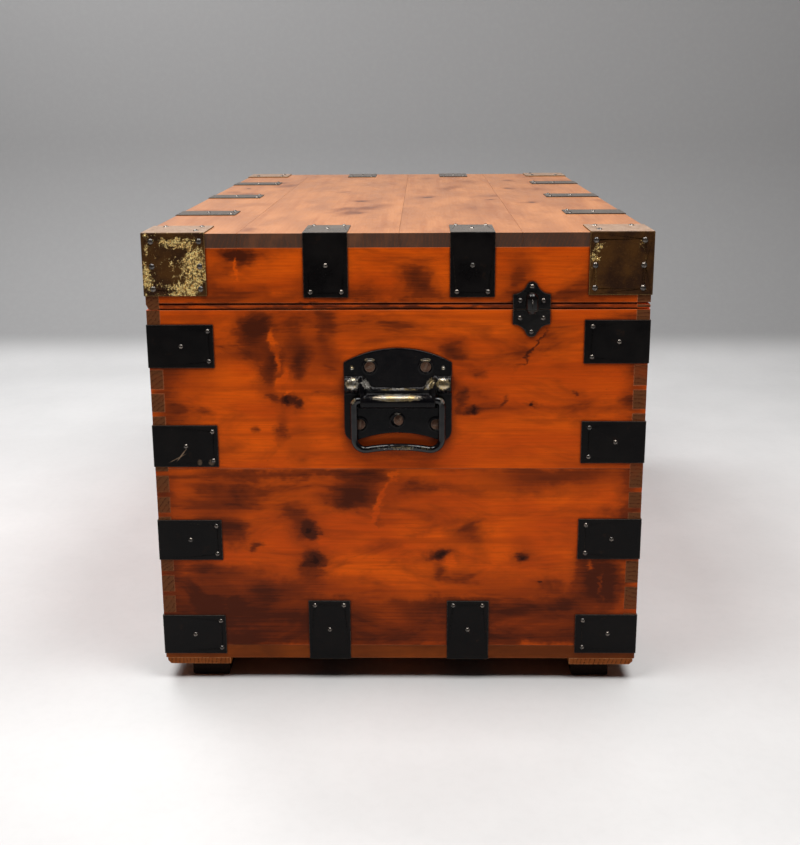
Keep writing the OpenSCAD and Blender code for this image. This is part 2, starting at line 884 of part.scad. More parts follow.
// Case with a bolt way, an opening for the staple at the top and a hole for the key at the back
module lock_case() {
  room_d = lock_d - 2 * lock_wall;
  way_h = bolt_h + 4;
  way_low = bolt_z - bolt_h / 2 - 0.2;
  top = -seam_gap / 2;
  color(aged_brass) raised() difference() {
    lock_place() difference() {
      translate([-lock_w / 2, -lock_d, -lock_h]) cube([lock_w, lock_d, lock_h + top]);
      // the room for the bolt and the staple
      translate([lock_wall - lock_w / 2, lock_wall - lock_d, way_low])
        cube([lock_w - 2 * lock_wall, room_d, way_h]);
      // the room for the key, open to the bolt way
      translate([-14, lock_wall - lock_d, key_z - 12]) cube([28, room_d, way_low - key_z + 12 + over]);
      // the slot for the staple, down past the bolt
      translate([staple_x - staple_w / 2 - 1, lock_wall - lock_d, -staple_drop - 1.5])
        cube([staple_w + 2, room_d, staple_drop + 3]);
      lock_screw_places() translate([0, 0, -lock_d - over]) cylinder(d = 3.4, h = lock_d + 2 * over);
    }
    keyhole_cutter(wall_t - lock_d / 2);
  }
}

// Places of the screws of the case, pointing into the chest
module lock_screw_places() {
  for (x = [-31, 31])
    translate([x, 0, -22]) rotate([-90, 0, 0]) children();
}

// Places of the pins of the keyhole plate, in the frame of the front face
module keyhole_pin_places() {
  for (y = [-17, 13])
    translate([0, seam_z + key_z + y, 0]) children();
}

// Straight bolt, drawn back at rest; it slides along +X through the staple
module lock_bolt() {
  past = 3.5; // how far the bolt stands beyond the staple when it is thrown
  reach = staple_x + staple_w / 2 + past - bolt_travel;
  color(aged_brass) raised() lock_place()
    translate([-30, lock_middle - bolt_d / 2, bolt_z - bolt_h / 2])
      cube([30 + reach, bolt_d, bolt_h]);
}

// Places of the screws of the link plate, pointing into the chest
module link_screw_places() {
  for (x = [-22, 22], z = [12, 27])
    translate([x, 0, z]) rotate([-90, 0, 0]) children();
}

// Flange of the link plate, let into the lid frame; room enlarges it for cutting
module link_flange(room = 0) {
  flange_l = 12 + 2 * room;
  flange_d = lock_d - lock_wall - 0.6 + room;
  translate([staple_x - flange_l / 2, -flange_d, seam_gap / 2 - room])
    cube([flange_l, flange_d + room, link_t + 2 * room]);
}

// Plate on the inner face of the lid frame, with the staple that the bolt enters
module lock_link_plate() {
  plate_l = 60;
  window_h = bolt_h + 1.4;
  color(aged_brass) raised() lock_place() {
    difference() {
      translate([-plate_l / 2, 0, seam_gap / 2]) cube([plate_l, link_t, 34]);
      link_screw_places() translate([0, 0, -over]) cylinder(d = 3.4, h = link_t + 2 * over);
    }
    link_flange();
    difference() {
      translate([staple_x - staple_w / 2, lock_middle - staple_d / 2, -staple_drop])
        cube([staple_w, staple_d, staple_drop + seam_gap]);
      translate([staple_x - staple_w, lock_middle - bolt_d / 2 - 0.3, bolt_z - window_h / 2])
        cube([2 * staple_w, bolt_d + 0.6, window_h]);
    }
  }
}

// Oval plate round the keyhole on the front
module keyhole_plate() {
  color(aged_brass) raised() on_front() difference() {
    linear_extrude(1.2) difference() {
      union() {
        for (y = [-9, 5])
          translate([0, seam_z + key_z + y]) circle(12);
        translate([-12, seam_z + key_z - 9]) square([24, 14]);
      }
      keyhole_outline();
    }
    keyhole_pin_places() translate([0, 0, -over]) cylinder(d = 1.8, h = 4);
  }
}

module lock_screws() {
  color(rusty_steel) raised() {
    lock_place() lock_screw_places() screw(6, 1.1, 3, 14, 0, 40);
    on_front() keyhole_pin_places() screw(4, 0.9, 1.8, 3.5, 1.2, 70);
  }
}

// ---- Nodes ----

front_board_lower();
front_board_upper();
back_board_lower();
back_board_upper();
lower_end(false);  // left_end_board_lower
upper_end(false);  // left_end_board_upper
lower_end(true);  // right_end_board_lower
upper_end(true);  // right_end_board_upper
bottom_plank(1);  // bottom_plank_1
bottom_plank(2);  // bottom_plank_2
bottom_plank(3);  // bottom_plank_3
bottom_plank(4);  // bottom_plank_4
bottom_plank(5);  // bottom_plank_5
front_batten();
back_batten();
front_runner();
back_runner();
corner_straps(true, false);  // corner_straps_front_left
corner_straps(false, false);  // corner_straps_back_left
corner_straps(true, true);  // corner_straps_front_right
corner_straps(false, true);  // corner_straps_back_right
bottom_straps_ends();
bottom_straps_sides();
box_strap_nails();
end_handle_plate(false);  // left_handle_plate
end_handle_plate(true);  // right_handle_plate
handle_bail(false);  // left_handle_bail
handle_bail(true);  // right_handle_bail
handle_screws();
guide_pin_plate(false);  // left_guide_pin_plate
guide_pin_plate(true);  // right_guide_pin_plate
hinge_box_strap(-hinge_x);  // left_hinge_box_strap
hinge_box_strap(hinge_x);  // right_hinge_box_strap
hinge_pins();
box_hinge_screws();
lock_case();
lock_bolt();
keyhole_plate();
lock_screws();
lid_front_rail();
lid_back_rail();
lid_end_rail(false);  // lid_left_rail
lid_end_rail(true);  // lid_right_rail
lid_plank(1);  // lid_plank_1
lid_plank(2);  // lid_plank_2
lid_plank(3);  // lid_plank_3
lid_plank(4);  // lid_plank_4
lid_bracket(true, false);  // lid_bracket_front_left
lid_bracket(false, false);  // lid_bracket_back_left
lid_bracket(true, true);  // lid_bracket_front_right
lid_bracket(false, true);  // lid_bracket_back_right
lid_straps_ends();
lid_straps_sides();
lid_strap_nails();
guide_socket_plate(false);  // left_guide_socket_plate
guide_socket_plate(true);  // right_guide_socket_plate
hinge_lid_strap(-hinge_x);  // left_hinge_lid_strap
hinge_lid_strap(hinge_x);  // right_hinge_lid_strap
lid_screws();
lock_link_plate();
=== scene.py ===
"""Looks of the iron-bound pine chest: materials, smooth handle parts, floor, lights and camera.

Everything is in metres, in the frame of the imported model: X along the chest, the left end at -X,
the front at -Y, Z up from the floor.
"""
import math
import random

import bpy
from mathutils import Matrix, Vector


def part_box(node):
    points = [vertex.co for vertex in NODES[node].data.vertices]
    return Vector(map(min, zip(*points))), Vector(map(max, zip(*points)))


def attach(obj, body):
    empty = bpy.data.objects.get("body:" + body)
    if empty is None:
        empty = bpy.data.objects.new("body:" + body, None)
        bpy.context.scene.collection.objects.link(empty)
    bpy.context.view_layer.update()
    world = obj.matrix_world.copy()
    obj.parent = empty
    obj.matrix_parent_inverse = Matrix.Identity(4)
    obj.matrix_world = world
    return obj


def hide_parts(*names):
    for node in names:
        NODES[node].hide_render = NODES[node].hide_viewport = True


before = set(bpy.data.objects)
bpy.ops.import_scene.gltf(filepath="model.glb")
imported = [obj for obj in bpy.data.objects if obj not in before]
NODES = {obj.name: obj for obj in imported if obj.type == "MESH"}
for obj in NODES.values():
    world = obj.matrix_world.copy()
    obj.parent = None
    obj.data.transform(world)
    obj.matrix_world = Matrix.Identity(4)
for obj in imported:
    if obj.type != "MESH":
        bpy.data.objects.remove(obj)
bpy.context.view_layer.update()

rng = random.Random(1887)

# ---- Node graphs ----

COLOUR_A, COLOUR_B, COLOUR_OUT = 6, 7, 2  # sockets of a Mix node that are for colours
WITHOUT_LIMIT = 1000.0  # half-size of a blob along the axis that it ignores
# An edge begins, and is full, where 1 minus the cosine of the normal's bend is one of these squared
EDGE_LOW, EDGE_HIGH = 0.02, 0.25


def random_shift():
    """A place in the noise that no other material uses."""
    return (rng.uniform(-9, 9), rng.uniform(-9, 9), rng.uniform(-9, 9))


class Graph:
    """A material with short calls for the nodes that it needs."""

    def __init__(self, name):
        self.material = bpy.data.materials.new(name)
        self.material.use_nodes = True
        self.tree = self.material.node_tree
        self.tree.nodes.clear()
        out = self.add("ShaderNodeOutputMaterial")
        self.bsdf = self.add("ShaderNodeBsdfPrincipled")
        self.tree.links.new(self.bsdf.outputs[0], out.inputs[0])
        coords = self.add("ShaderNodeTexCoord")
        self.position = coords.outputs["Object"]
        self.normal = coords.outputs["Normal"]

    def add(self, kind, **settings):
        node = self.tree.nodes.new(kind)
        for key, value in settings.items():
            setattr(node, key, value)
        return node

    def put(self, socket, value):
        if isinstance(value, bpy.types.NodeSocket):
            self.tree.links.new(value, socket)
        elif socket.type == "RGBA" and len(value) == 3:
            socket.default_value = (*value, 1.0)
        else:
            socket.default_value = value

    def shader(self, **values):
        for key, value in values.items():
            self.put(self.bsdf.inputs[key.replace("_", " ").title().replace("Ior", "IOR")], value)

    def math(self, operation, a, b=0.0, clamp=False):
        node = self.add("ShaderNodeMath", operation=operation, use_clamp=clamp)
        self.put(node.inputs[0], a)
        self.put(node.inputs[1], b)
        return node.outputs[0]

    def gather(self, total, value, share):
        """total + value * share."""
        node = self.add("ShaderNodeMath", operation="MULTIPLY_ADD")
        self.put(node.inputs[0], value)
        self.put(node.inputs[1], share)
        self.put(node.inputs[2], total)
        return node.outputs[0]

    def total(self, values):
        result = values[0]
        for value in values[1:]:
            result = self.math("ADD", result, value)
        return result

    def weighted(self, *terms):
        """Sum of the terms, each of which is a value and its share."""
        return self.total([self.math("MULTIPLY", value, share) for value, share in terms])

    def vector(self, operation, a, b=(0.0, 0.0, 0.0)):
        node = self.add("ShaderNodeVectorMath", operation=operation)
        self.put(node.inputs[0], a)
        self.put(node.inputs[1], b)
        return node.outputs["Value" if operation in ("LENGTH", "DOT_PRODUCT") else "Vector"]

    def axes(self, order):
        """The position with its axes in another order, such as yzx."""
        split = self.add("ShaderNodeSeparateXYZ")
        self.put(split.inputs[0], self.position)
        join = self.add("ShaderNodeCombineXYZ")
        for i, axis in enumerate(order):
            self.tree.links.new(split.outputs["xyz".index(axis)], join.inputs[i])
        return join.outputs[0]

    def part(self, vector, index):
        split = self.add("ShaderNodeSeparateXYZ")
        self.put(split.inputs[0], vector)
        return split.outputs[index]

    def joined(self, x, y, z):
        join = self.add("ShaderNodeCombineXYZ")
        for socket, value in zip(join.inputs, (x, y, z)):
            self.put(socket, value)
        return join.outputs[0]

    def noise(self, vector, scale, detail=3.0, rough=0.55, distortion=0.0, stretch=None, output=0):
        if stretch is not None:
            vector = self.vector("MULTIPLY", vector, stretch)
        node = self.add("ShaderNodeTexNoise")
        self.put(node.inputs["Vector"], vector)
        node.inputs["Scale"].default_value = scale
        node.inputs["Detail"].default_value = detail
        node.inputs["Roughness"].default_value = rough
        node.inputs["Distortion"].default_value = distortion
        return node.outputs[output]

    def remap(self, value, low, high, to_low=0.0, to_high=1.0, smooth=True):
        node = self.add("ShaderNodeMapRange")
        if smooth:
            node.interpolation_type = "SMOOTHSTEP"
        for i, v in enumerate((value, low, high, to_low, to_high)):
            self.put(node.inputs[i], v)
        return node.outputs[0]

    def mix(self, factor, a, b):
        node = self.add("ShaderNodeMix", data_type="RGBA")
        self.put(node.inputs[0], factor)
        self.put(node.inputs[COLOUR_A], a)
        self.put(node.inputs[COLOUR_B], b)
        return node.outputs[COLOUR_OUT]

    def ramp(self, value, stops):
        """Grey that goes through the stops, each of which is a place and a brightness."""
        node = self.add("ShaderNodeValToRGB")
        points = node.color_ramp.elements
        while len(points) < len(stops):
            points.new(0.5)
        for point, (place, grey) in zip(points, stops):
            point.position = place
            point.color = (grey, grey, grey, 1.0)
        self.put(node.inputs[0], value)
        return node.outputs[0]

    def blob(self, vector, centre, size, turn=0.0, core=0.0):
        """1 inside an ellipse of the given half-sizes, fading to 0 at its edge; turn is in degrees."""
        place = self.add("ShaderNodeMapping", vector_type="TEXTURE")
        self.put(place.inputs["Vector"], vector)
        place.inputs["Location"].default_value = (centre[0], centre[1], 0.0)
        place.inputs["Rotation"].default_value = (0.0, 0.0, math.radians(turn))
        place.inputs["Scale"].default_value = (size[0], size[1], WITHOUT_LIMIT)
        return self.remap(self.vector("LENGTH", place.outputs[0]), core, 1.0, 1.0, 0.0)

    def edges(self, radius):
        """1 on the edges of the mesh, fading within about the radius."""
        bevel = self.add("ShaderNodeBevel", samples=4)
        bevel.inputs["Radius"].default_value = radius
        plain = self.add("ShaderNodeNewGeometry").outputs["Normal"]
        same = self.vector("DOT_PRODUCT", bevel.outputs[0], plain)
        return self.remap(self.math("SUBTRACT", 1.0, same), EDGE_LOW ** 2, EDGE_HIGH ** 2)

    def upward(self, most):
        """The given value on faces that look up, fading to 0 on sloping ones."""
        return self.remap(self.part(self.normal, 2), 0.80, 0.95, 0.0, most)

    def occlusion_shade(self, distance):
        """Painted shade, with the dirt that gathers there: 1 in corners, beside the iron and round nail
        heads, fading to 0 in the open.
        """
        near = self.add("ShaderNodeAmbientOcclusion", samples=4)
        near.inputs["Distance"].default_value = distance
        return self.remap(near.outputs["AO"], 0.70, 1.0, 1.0, 0.0)

    def bump(self, height, distance, strength=1.0):
        node = self.add("ShaderNodeBump")
        node.inputs["Strength"].default_value = strength
        node.inputs["Distance"].default_value = distance
        self.put(node.inputs["Height"], height)
        self.put(self.bsdf.inputs["Normal"], node.outputs[0])


# ---- Wood ----

# Tones of pine: the clear wood is bright to middle, a ring darkens it, marks are brown and then smoke,
# a knot has a core of its own, and end is for the faces that cross the grain
VARNISHED = {
    "bright": (0.90, 0.126, 0.003), "middle": (0.68, 0.082, 0.003), "ring": (0.38, 0.046, 0.003),
    "brown": (0.235, 0.034, 0.004), "smoke": (0.060, 0.0115, 0.004), "knot": (0.022, 0.005, 0.002),
    "end": (0.150, 0.052, 0.018),
}
# The lid's top is the same pine painted paler and greyer, as painted sheen of the light that its varnish
# reflects at a grazing angle
LID_TOP_SHEEN = {
    "bright": (0.46, 0.192, 0.076), "middle": (0.39, 0.154, 0.058), "ring": (0.31, 0.102, 0.034),
    "brown": (0.21, 0.064, 0.020), "smoke": (0.13, 0.040, 0.013), "knot": (0.06, 0.018, 0.008),
    "end": (0.075, 0.033, 0.018),
}
PLANK_EDGE = {
    "bright": (0.30, 0.062, 0.008), "middle": (0.20, 0.042, 0.007), "ring": (0.090, 0.022, 0.006),
    "brown": (0.08, 0.020, 0.006), "smoke": (0.035, 0.010, 0.004), "knot": (0.03, 0.012, 0.006),
    "end": (0.060, 0.026, 0.012),
}
WORN_EDGE = {
    "bright": (0.52, 0.170, 0.035), "middle": (0.26, 0.065, 0.012), "ring": (0.12, 0.030, 0.008),
    "brown": (0.10, 0.024, 0.007), "smoke": (0.030, 0.009, 0.004), "knot": (0.03, 0.012, 0.006),
    "end": (0.30, 0.080, 0.018),
}
# Painted shade: the runners under the chest are coloured near-black for the shade they stand in, with some
# dirt
SHADED = {
    "bright": (0.030, 0.014, 0.007), "middle": (0.022, 0.010, 0.005), "ring": (0.014, 0.006, 0.004),
    "brown": (0.012, 0.005, 0.003), "smoke": (0.008, 0.004, 0.003), "knot": (0.006, 0.003, 0.002),
    "end": (0.012, 0.006, 0.004),
}
DULL = {
    "bright": (0.20, 0.050, 0.010), "middle": (0.14, 0.034, 0.008), "ring": (0.075, 0.020, 0.006),
    "brown": (0.08, 0.022, 0.007), "smoke": (0.05, 0.018, 0.008), "knot": (0.03, 0.012, 0.006),
    "end": (0.060, 0.028, 0.014),
}

MARK_FADE = 1.5  # a mark fades out at this many times its half-size


def wood(name, order, tones, smoke=(), lights=(), knots=(), shades=(), pith=(0.16, 0.05), pitch=0.0048,
         gloss=0.34, coat=0.03, level=0.10, ring_share=0.13, smoke_share=1.0, rub_and_highlight=0.35, shade_and_dirt=0.0, inner=None):
    """Pine whose grain runs along the first axis of order; the second axis goes across the board.

    smoke, lights and shades are (u, v, half-length, half-width, turn, strength), knots are (u, v, radius);
    inner is the axis and the sign of the normal of the face that never was varnished.
    """
    g = Graph(name)
    p = g.axes(order)
    seeded = g.vector("ADD", p, random_shift())

    # Organic borders: the places of the marks are looked up through a small warp
    swirl = g.noise(seeded, 1.0, 4.0, 0.62, stretch=(26.0, 34.0, 26.0), output=1)
    swirl = g.vector("MULTIPLY", g.vector("SUBTRACT", swirl, (0.5, 0.5, 0.5)), (0.040, 0.034, 0.0))
    fine = g.noise(seeded, 1.0, 2.0, 0.6, stretch=(55.0, 420.0, 90.0), output=1)
    fine = g.vector("MULTIPLY", g.vector("SUBTRACT", fine, (0.5, 0.5, 0.5)), (0.006, 0.0015, 0.0))
    warped = g.vector("ADD", g.vector("ADD", p, swirl), fine)

    # Rings round a pith that lies off the board, pushed apart by the knots
    across = g.vector("ADD", g.vector("MULTIPLY", p, (0.0, 1.0, 1.0)), (0.0, pith[0], pith[1]))
    wander = g.noise(seeded, 1.0, 2.0, 0.5, stretch=(2.2, 9.0, 9.0))
    ripple = g.noise(seeded, 1.0, 3.0, 0.6, stretch=(14.0, 70.0, 70.0))
    turns = g.math("DIVIDE", g.vector("LENGTH", across), pitch)
    turns = g.gather(g.gather(turns, wander, 9.0), ripple, 1.1)
    # Each mark is looked up at a place whose third part, which the marks ignore, is the sum so far:
    # so they are worked out one after the other, and a long list needs little shader memory
    place_u, place_v = g.part(warped, 0), g.part(warped, 1)
    cores = 0.0
    for u, v, r in knots:
        place = g.joined(place_u, place_v, cores)
        turns = g.gather(turns, g.blob(place, (u, v), (r * 9.0, r * 4.2)), 3.4)
        cores = g.gather(cores, g.blob(place, (u, v), (r * 1.35, r), 0.0, 0.35), 1.0)
    turn = g.math("FRACT", turns)
    late = g.ramp(turn, [(0.0, 0.0), (0.55, 0.22), (0.86, 1.0), (1.0, 0.0)])

    cloud = g.noise(seeded, 1.0, 4.0, 0.6, stretch=(7.0, 20.0, 12.0))
    streak = g.noise(seeded, 1.0, 3.0, 0.65, stretch=(12.0, 380.0, 160.0))
    long_streak = g.noise(seeded, 1.0, 2.0, 0.5, stretch=(3.0, 75.0, 40.0))
    base = g.mix(g.remap(cloud, 0.36, 0.66), tones["middle"], tones["bright"])
    base = g.mix(g.math("MULTIPLY", late, ring_share), base, tones["ring"])
    base = g.mix(g.remap(streak, 0.42, 0.74, 0.0, 0.30), base, tones["ring"])
    base = g.mix(g.remap(long_streak, 0.48, 0.74, 0.0, 0.50), base, tones["ring"])

    mark = g.remap(g.noise(seeded, 1.0, 4.0, 0.62, 0.6, stretch=(9.0, 26.0, 15.0)),
                   0.42, 0.78, 0.0, 0.55 * smoke_share)
    for places, share in ((smoke, 1.0), (shades, 1.0), (lights, -1.0)):
        for u, v, du, dv, angle, strength in places:
            place = g.joined(place_u, place_v, mark)
            size = (du * MARK_FADE, dv * MARK_FADE)
            mark = g.gather(mark, g.blob(place, (u, v), size, angle), share * strength)
    mark = g.math("MULTIPLY", mark, g.remap(streak, 0.25, 0.70, 1.15, 0.90), True)
    base = g.mix(g.remap(mark, 0.0, 0.60, 0.0, 0.90, False), base, tones["brown"])
    base = g.mix(g.remap(mark, 0.35, 1.1, 0.0, 0.95), base, tones["smoke"])
    if knots:
        base = g.mix(g.math("MULTIPLY", cores, 0.85, True), base, tones["knot"])

    # Pores and small specks of dirt
    specks = g.remap(g.noise(seeded, 1.0, 2.0, 0.5, stretch=(260.0, 900.0, 500.0)), 0.70, 0.80, 0.0, 0.5)
    base = g.mix(specks, base, tones["smoke"])

    if inner:
        facing_in = g.remap(g.math("MULTIPLY", g.part(g.normal, inner[0]), inner[1]), 0.72, 0.86, 0.0, 0.9)
        bare = g.mix(g.remap(cloud, 0.3, 0.7), (0.36, 0.185, 0.075), (0.46, 0.26, 0.115))
        bare = g.mix(g.math("MULTIPLY", late, 0.55), bare, (0.27, 0.115, 0.038))
        bare = g.mix(g.remap(mark, 0.2, 1.0, 0.0, 0.5), bare, (0.14, 0.060, 0.025))
        base = g.mix(facing_in, base, bare)

    # End grain, on the faces square to the grain
    facing = g.math("ABSOLUTE", g.part(g.normal, "xyz".index(order[0])))
    on_end = g.remap(facing, 0.72, 0.86)
    speckle = g.noise(seeded, 1.0, 3.0, 0.7, stretch=(300.0, 520.0, 520.0))
    end_tone = g.mix(g.remap(speckle, 0.35, 0.68), g.mix(late, tones["end"], tones["smoke"]), tones["end"])
    end_tone = g.mix(g.remap(cloud, 0.5, 0.75, 0.0, 0.5), end_tone, tones["ring"])
    base = g.mix(on_end, base, end_tone)

    # Painted shade, with some dirt: the wood darkens in corners and beside the iron, found by ambient
    # occlusion
    if shade_and_dirt > 0:
        base = g.mix(g.math("MULTIPLY", g.occlusion_shade(0.016), shade_and_dirt), base, tones["smoke"])

    # Arrises rubbed paler, which also stands as a painted highlight along them
    rubbed_and_lit = g.math("MULTIPLY", g.edges(0.0016), g.remap(streak, 0.35, 0.62, 0.15 * rub_and_highlight, 0.75 * rub_and_highlight))
    base = g.mix(rubbed_and_lit, base, g.mix(0.45, tones["bright"], (0.62, 0.40, 0.22)))

    rough = g.remap(cloud, 0.3, 0.7, gloss - 0.05, gloss + 0.10)
    rough = g.total([rough, g.math("MULTIPLY", on_end, 0.18), g.math("MULTIPLY", streak, 0.08)])
    g.shader(base_color=base, roughness=rough, ior=1.40, specular_ior_level=level,
             coat_weight=coat, coat_roughness=0.22, coat_ior=1.35)
    g.bump(g.weighted((late, 0.25), (streak, 0.8), (cloud, 1.5)), 0.00035, 0.55)
    return g.material


def chance_marks(u0, u1, v0, v1, count, knot_count):
    """Smoke marks and knots for a board that isn't seen in detail, spread over its face."""
    smoke, knots = [], []
    for _ in range(count):
        smoke.append((rng.uniform(u0, u1), rng.uniform(v0, v1), rng.uniform(0.012, 0.055),
                      rng.uniform(0.008, 0.024), rng.uniform(-20, 20), rng.uniform(0.25, 0.6)))
    for _ in range(knot_count):
        u, v, r = rng.uniform(u0, u1), rng.uniform(v0, v1), rng.uniform(0.004, 0.008)
        knots.append((u, v, r))
        smoke.append((u + rng.uniform(-0.01, 0.01), v, r * 3.4, r * 2.0, rng.uniform(-30, 30), 0.55))
    return smoke, knots


# ---- Metals ----


def japanned(name, rust=0.15, wear=0.5, gloss=0.34, marks=(), dust_and_sheen=0.35, level=0.18):
    """Black japanned iron: satin, rubbed at the edges, with a little rust; marks are pale scratches; faces
    that look up are paler, partly dust and partly painted sheen.
    """
    g = Graph(name)
    p = g.vector("ADD", g.position, random_shift())
    cloud = g.noise(p, 28.0, 4.0, 0.6)
    grit = g.noise(p, 420.0, 3.0, 0.6)
    base = g.mix(g.remap(cloud, 0.35, 0.7), (0.0030, 0.0024, 0.0026), (0.0065, 0.0052, 0.0050))
    rusty = g.math("MULTIPLY", g.remap(g.noise(p, 60.0, 5.0, 0.7), 0.60, 0.80), rust, True)
    base = g.mix(rusty, base, (0.10, 0.042, 0.016))
    edge = g.math("MULTIPLY", g.edges(0.0012), g.remap(grit, 0.35, 0.62))
    base = g.mix(g.math("MULTIPLY", edge, wear, True), base, (0.16, 0.135, 0.11))
    scratches = g.remap(g.noise(p, 1.0, 2.0, 0.5, 1.5, stretch=(30.0, 700.0, 120.0)), 0.73, 0.79, 0.0, 0.35)
    base = g.mix(scratches, base, (0.05, 0.042, 0.035))
    side = g.axes("yzx")
    for u, v, du, dv, angle, strength in marks:
        spot = g.math("MULTIPLY", g.blob(side, (u, v), (du, dv), angle, 0.5), strength)
        base = g.mix(g.math("MULTIPLY", spot, g.remap(grit, 0.3, 0.6, 0.4, 1.0)), base, (0.30, 0.20, 0.13))
    # Faces that look up are painted paler: some dust, and painted sheen of the light that they reflect
    dusty_sheen = g.math("MULTIPLY", g.upward(dust_and_sheen), g.remap(cloud, 0.3, 0.7, 0.7, 1.0))
    base = g.mix(dusty_sheen, base, (0.17, 0.145, 0.125))
    rough = g.remap(cloud, 0.3, 0.7, gloss - 0.05, gloss + 0.12)
    g.shader(base_color=base, roughness=g.math("ADD", rough, g.math("MULTIPLY", rusty, 0.4)),
             metallic=g.math("MULTIPLY", edge, 0.5), specular_ior_level=level, ior=1.36)
    g.bump(g.weighted((cloud, 3.0), (grit, 0.35)), 0.0004, 0.5)
    return g.material


def worn_nails(name):
    """Dark iron nail heads with domes rubbed bright."""
    g = Graph(name)
    cloud = g.noise(g.position, 190.0, 3.0, 0.6)
    grit = g.noise(g.position, 900.0, 2.0, 0.6)
    base = g.mix(g.remap(cloud, 0.38, 0.62), (0.030, 0.025, 0.022), (0.17, 0.145, 0.125))
    base = g.mix(g.remap(grit, 0.6, 0.75, 0.0, 0.6), base, (0.05, 0.024, 0.012))
    g.shader(base_color=base, metallic=g.remap(cloud, 0.38, 0.62, 0.35, 0.85), ior=1.7,
             roughness=g.remap(grit, 0.3, 0.7, 0.13, 0.22))
    g.bump(g.math("ADD", cloud, grit), 0.0002, 0.4)
    return g.material


PATCH_SHIFT = 0.004  # the ragged noise moves a patch by this much on average


def patinated_brass(name, patches, bare=0.50):
    """Brass whose dark patina has worn through in patches (u, v, half-length, half-width, turn, strength).

    The lower bare is, the more of it has worn through everywhere.
    """
    g = Graph(name)
    p = g.vector("ADD", g.position, random_shift())
    cloud = g.noise(p, 36.0, 4.0, 0.62)
    flake = g.weighted((g.noise(p, 130.0, 4.0, 0.70, 0.5), 0.55), (g.noise(p, 420.0, 4.0, 0.75), 0.45))
    grit = g.noise(p, 700.0, 3.0, 0.70)
    ragged = g.noise(p, 90.0, 3.0, 0.6, output=1)
    ragged = g.vector("MULTIPLY", ragged, (2 * PATCH_SHIFT, 2 * PATCH_SHIFT, 0.0))
    side = g.vector("ADD", g.axes("yzx"), ragged)
    push = [g.math("MULTIPLY", cloud, 0.25)]
    for u, v, du, dv, angle, strength in patches:
        place = (u + PATCH_SHIFT, v + PATCH_SHIFT)
        push.append(g.math("MULTIPLY", g.blob(side, place, (du, dv), angle), strength))
    worn = g.remap(g.math("ADD", flake, g.total(push)), bare + 0.25, bare + 0.35)
    flecks = g.remap(g.noise(p, 310.0, 3.0, 0.75, 0.8), 0.43, 0.57, 0.10, 1.0)
    worn = g.math("MULTIPLY", worn, flecks)
    gold = g.mix(g.remap(grit, 0.38, 0.60), (0.62, 0.30, 0.06), (1.0, 0.80, 0.33))
    patina = g.mix(g.remap(cloud, 0.35, 0.65), (0.085, 0.034, 0.007), (0.030, 0.011, 0.004))
    patina = g.mix(g.remap(grit, 0.55, 0.75, 0.0, 0.55), patina, (0.15, 0.075, 0.022))
    base = g.mix(worn, patina, gold)
    edge = g.math("MULTIPLY", g.edges(0.0012), g.remap(grit, 0.3, 0.6))
    base = g.mix(g.math("MULTIPLY", edge, 0.7), base, (0.42, 0.25, 0.08))
    # Painted reflection: faces that look up are coloured a pale pinkish grey for the glare that they reflect
    top_glare = g.mix(g.remap(flake, 0.4, 0.6), (0.29, 0.185, 0.125), (0.43, 0.30, 0.22))
    base = g.mix(g.upward(0.8), base, top_glare)
    g.shader(base_color=base, metallic=g.remap(worn, 0.0, 1.0, 0.10, 0.55), ior=1.4, specular_ior_level=0.2,
             roughness=g.remap(g.math("ADD", worn, g.math("MULTIPLY", grit, 0.4)), 0.0, 1.4, 0.40, 0.27))
    rough_gold = g.math("MULTIPLY", worn, grit)
    g.bump(g.weighted((worn, -0.6), (rough_gold, 3.0), (grit, 0.4), (cloud, 2.0)), 0.0005, 0.7)
    return g.material


def rusty_screws(name):
    """Brown screws, paler at the edges of the head and of the slot."""
    g = Graph(name)
    cloud = g.noise(g.position, 160.0, 4.0, 0.65)
    grit = g.noise(g.position, 800.0, 3.0, 0.6)
    base = g.mix(g.remap(cloud, 0.35, 0.65), (0.070, 0.030, 0.018), (0.15, 0.080, 0.050))
    base = g.mix(g.remap(grit, 0.58, 0.75, 0.0, 0.7), base, (0.035, 0.018, 0.012))
    base = g.mix(g.math("MULTIPLY", g.edges(0.0009), 0.7), base, (0.34, 0.26, 0.20))
    g.shader(base_color=base, metallic=g.remap(cloud, 0.35, 0.65, 0.25, 0.6), specular_ior_level=0.25,
             roughness=g.remap(grit, 0.3, 0.7, 0.34, 0.55))
    g.bump(g.math("ADD", cloud, grit), 0.0003, 0.5)
    return g.material


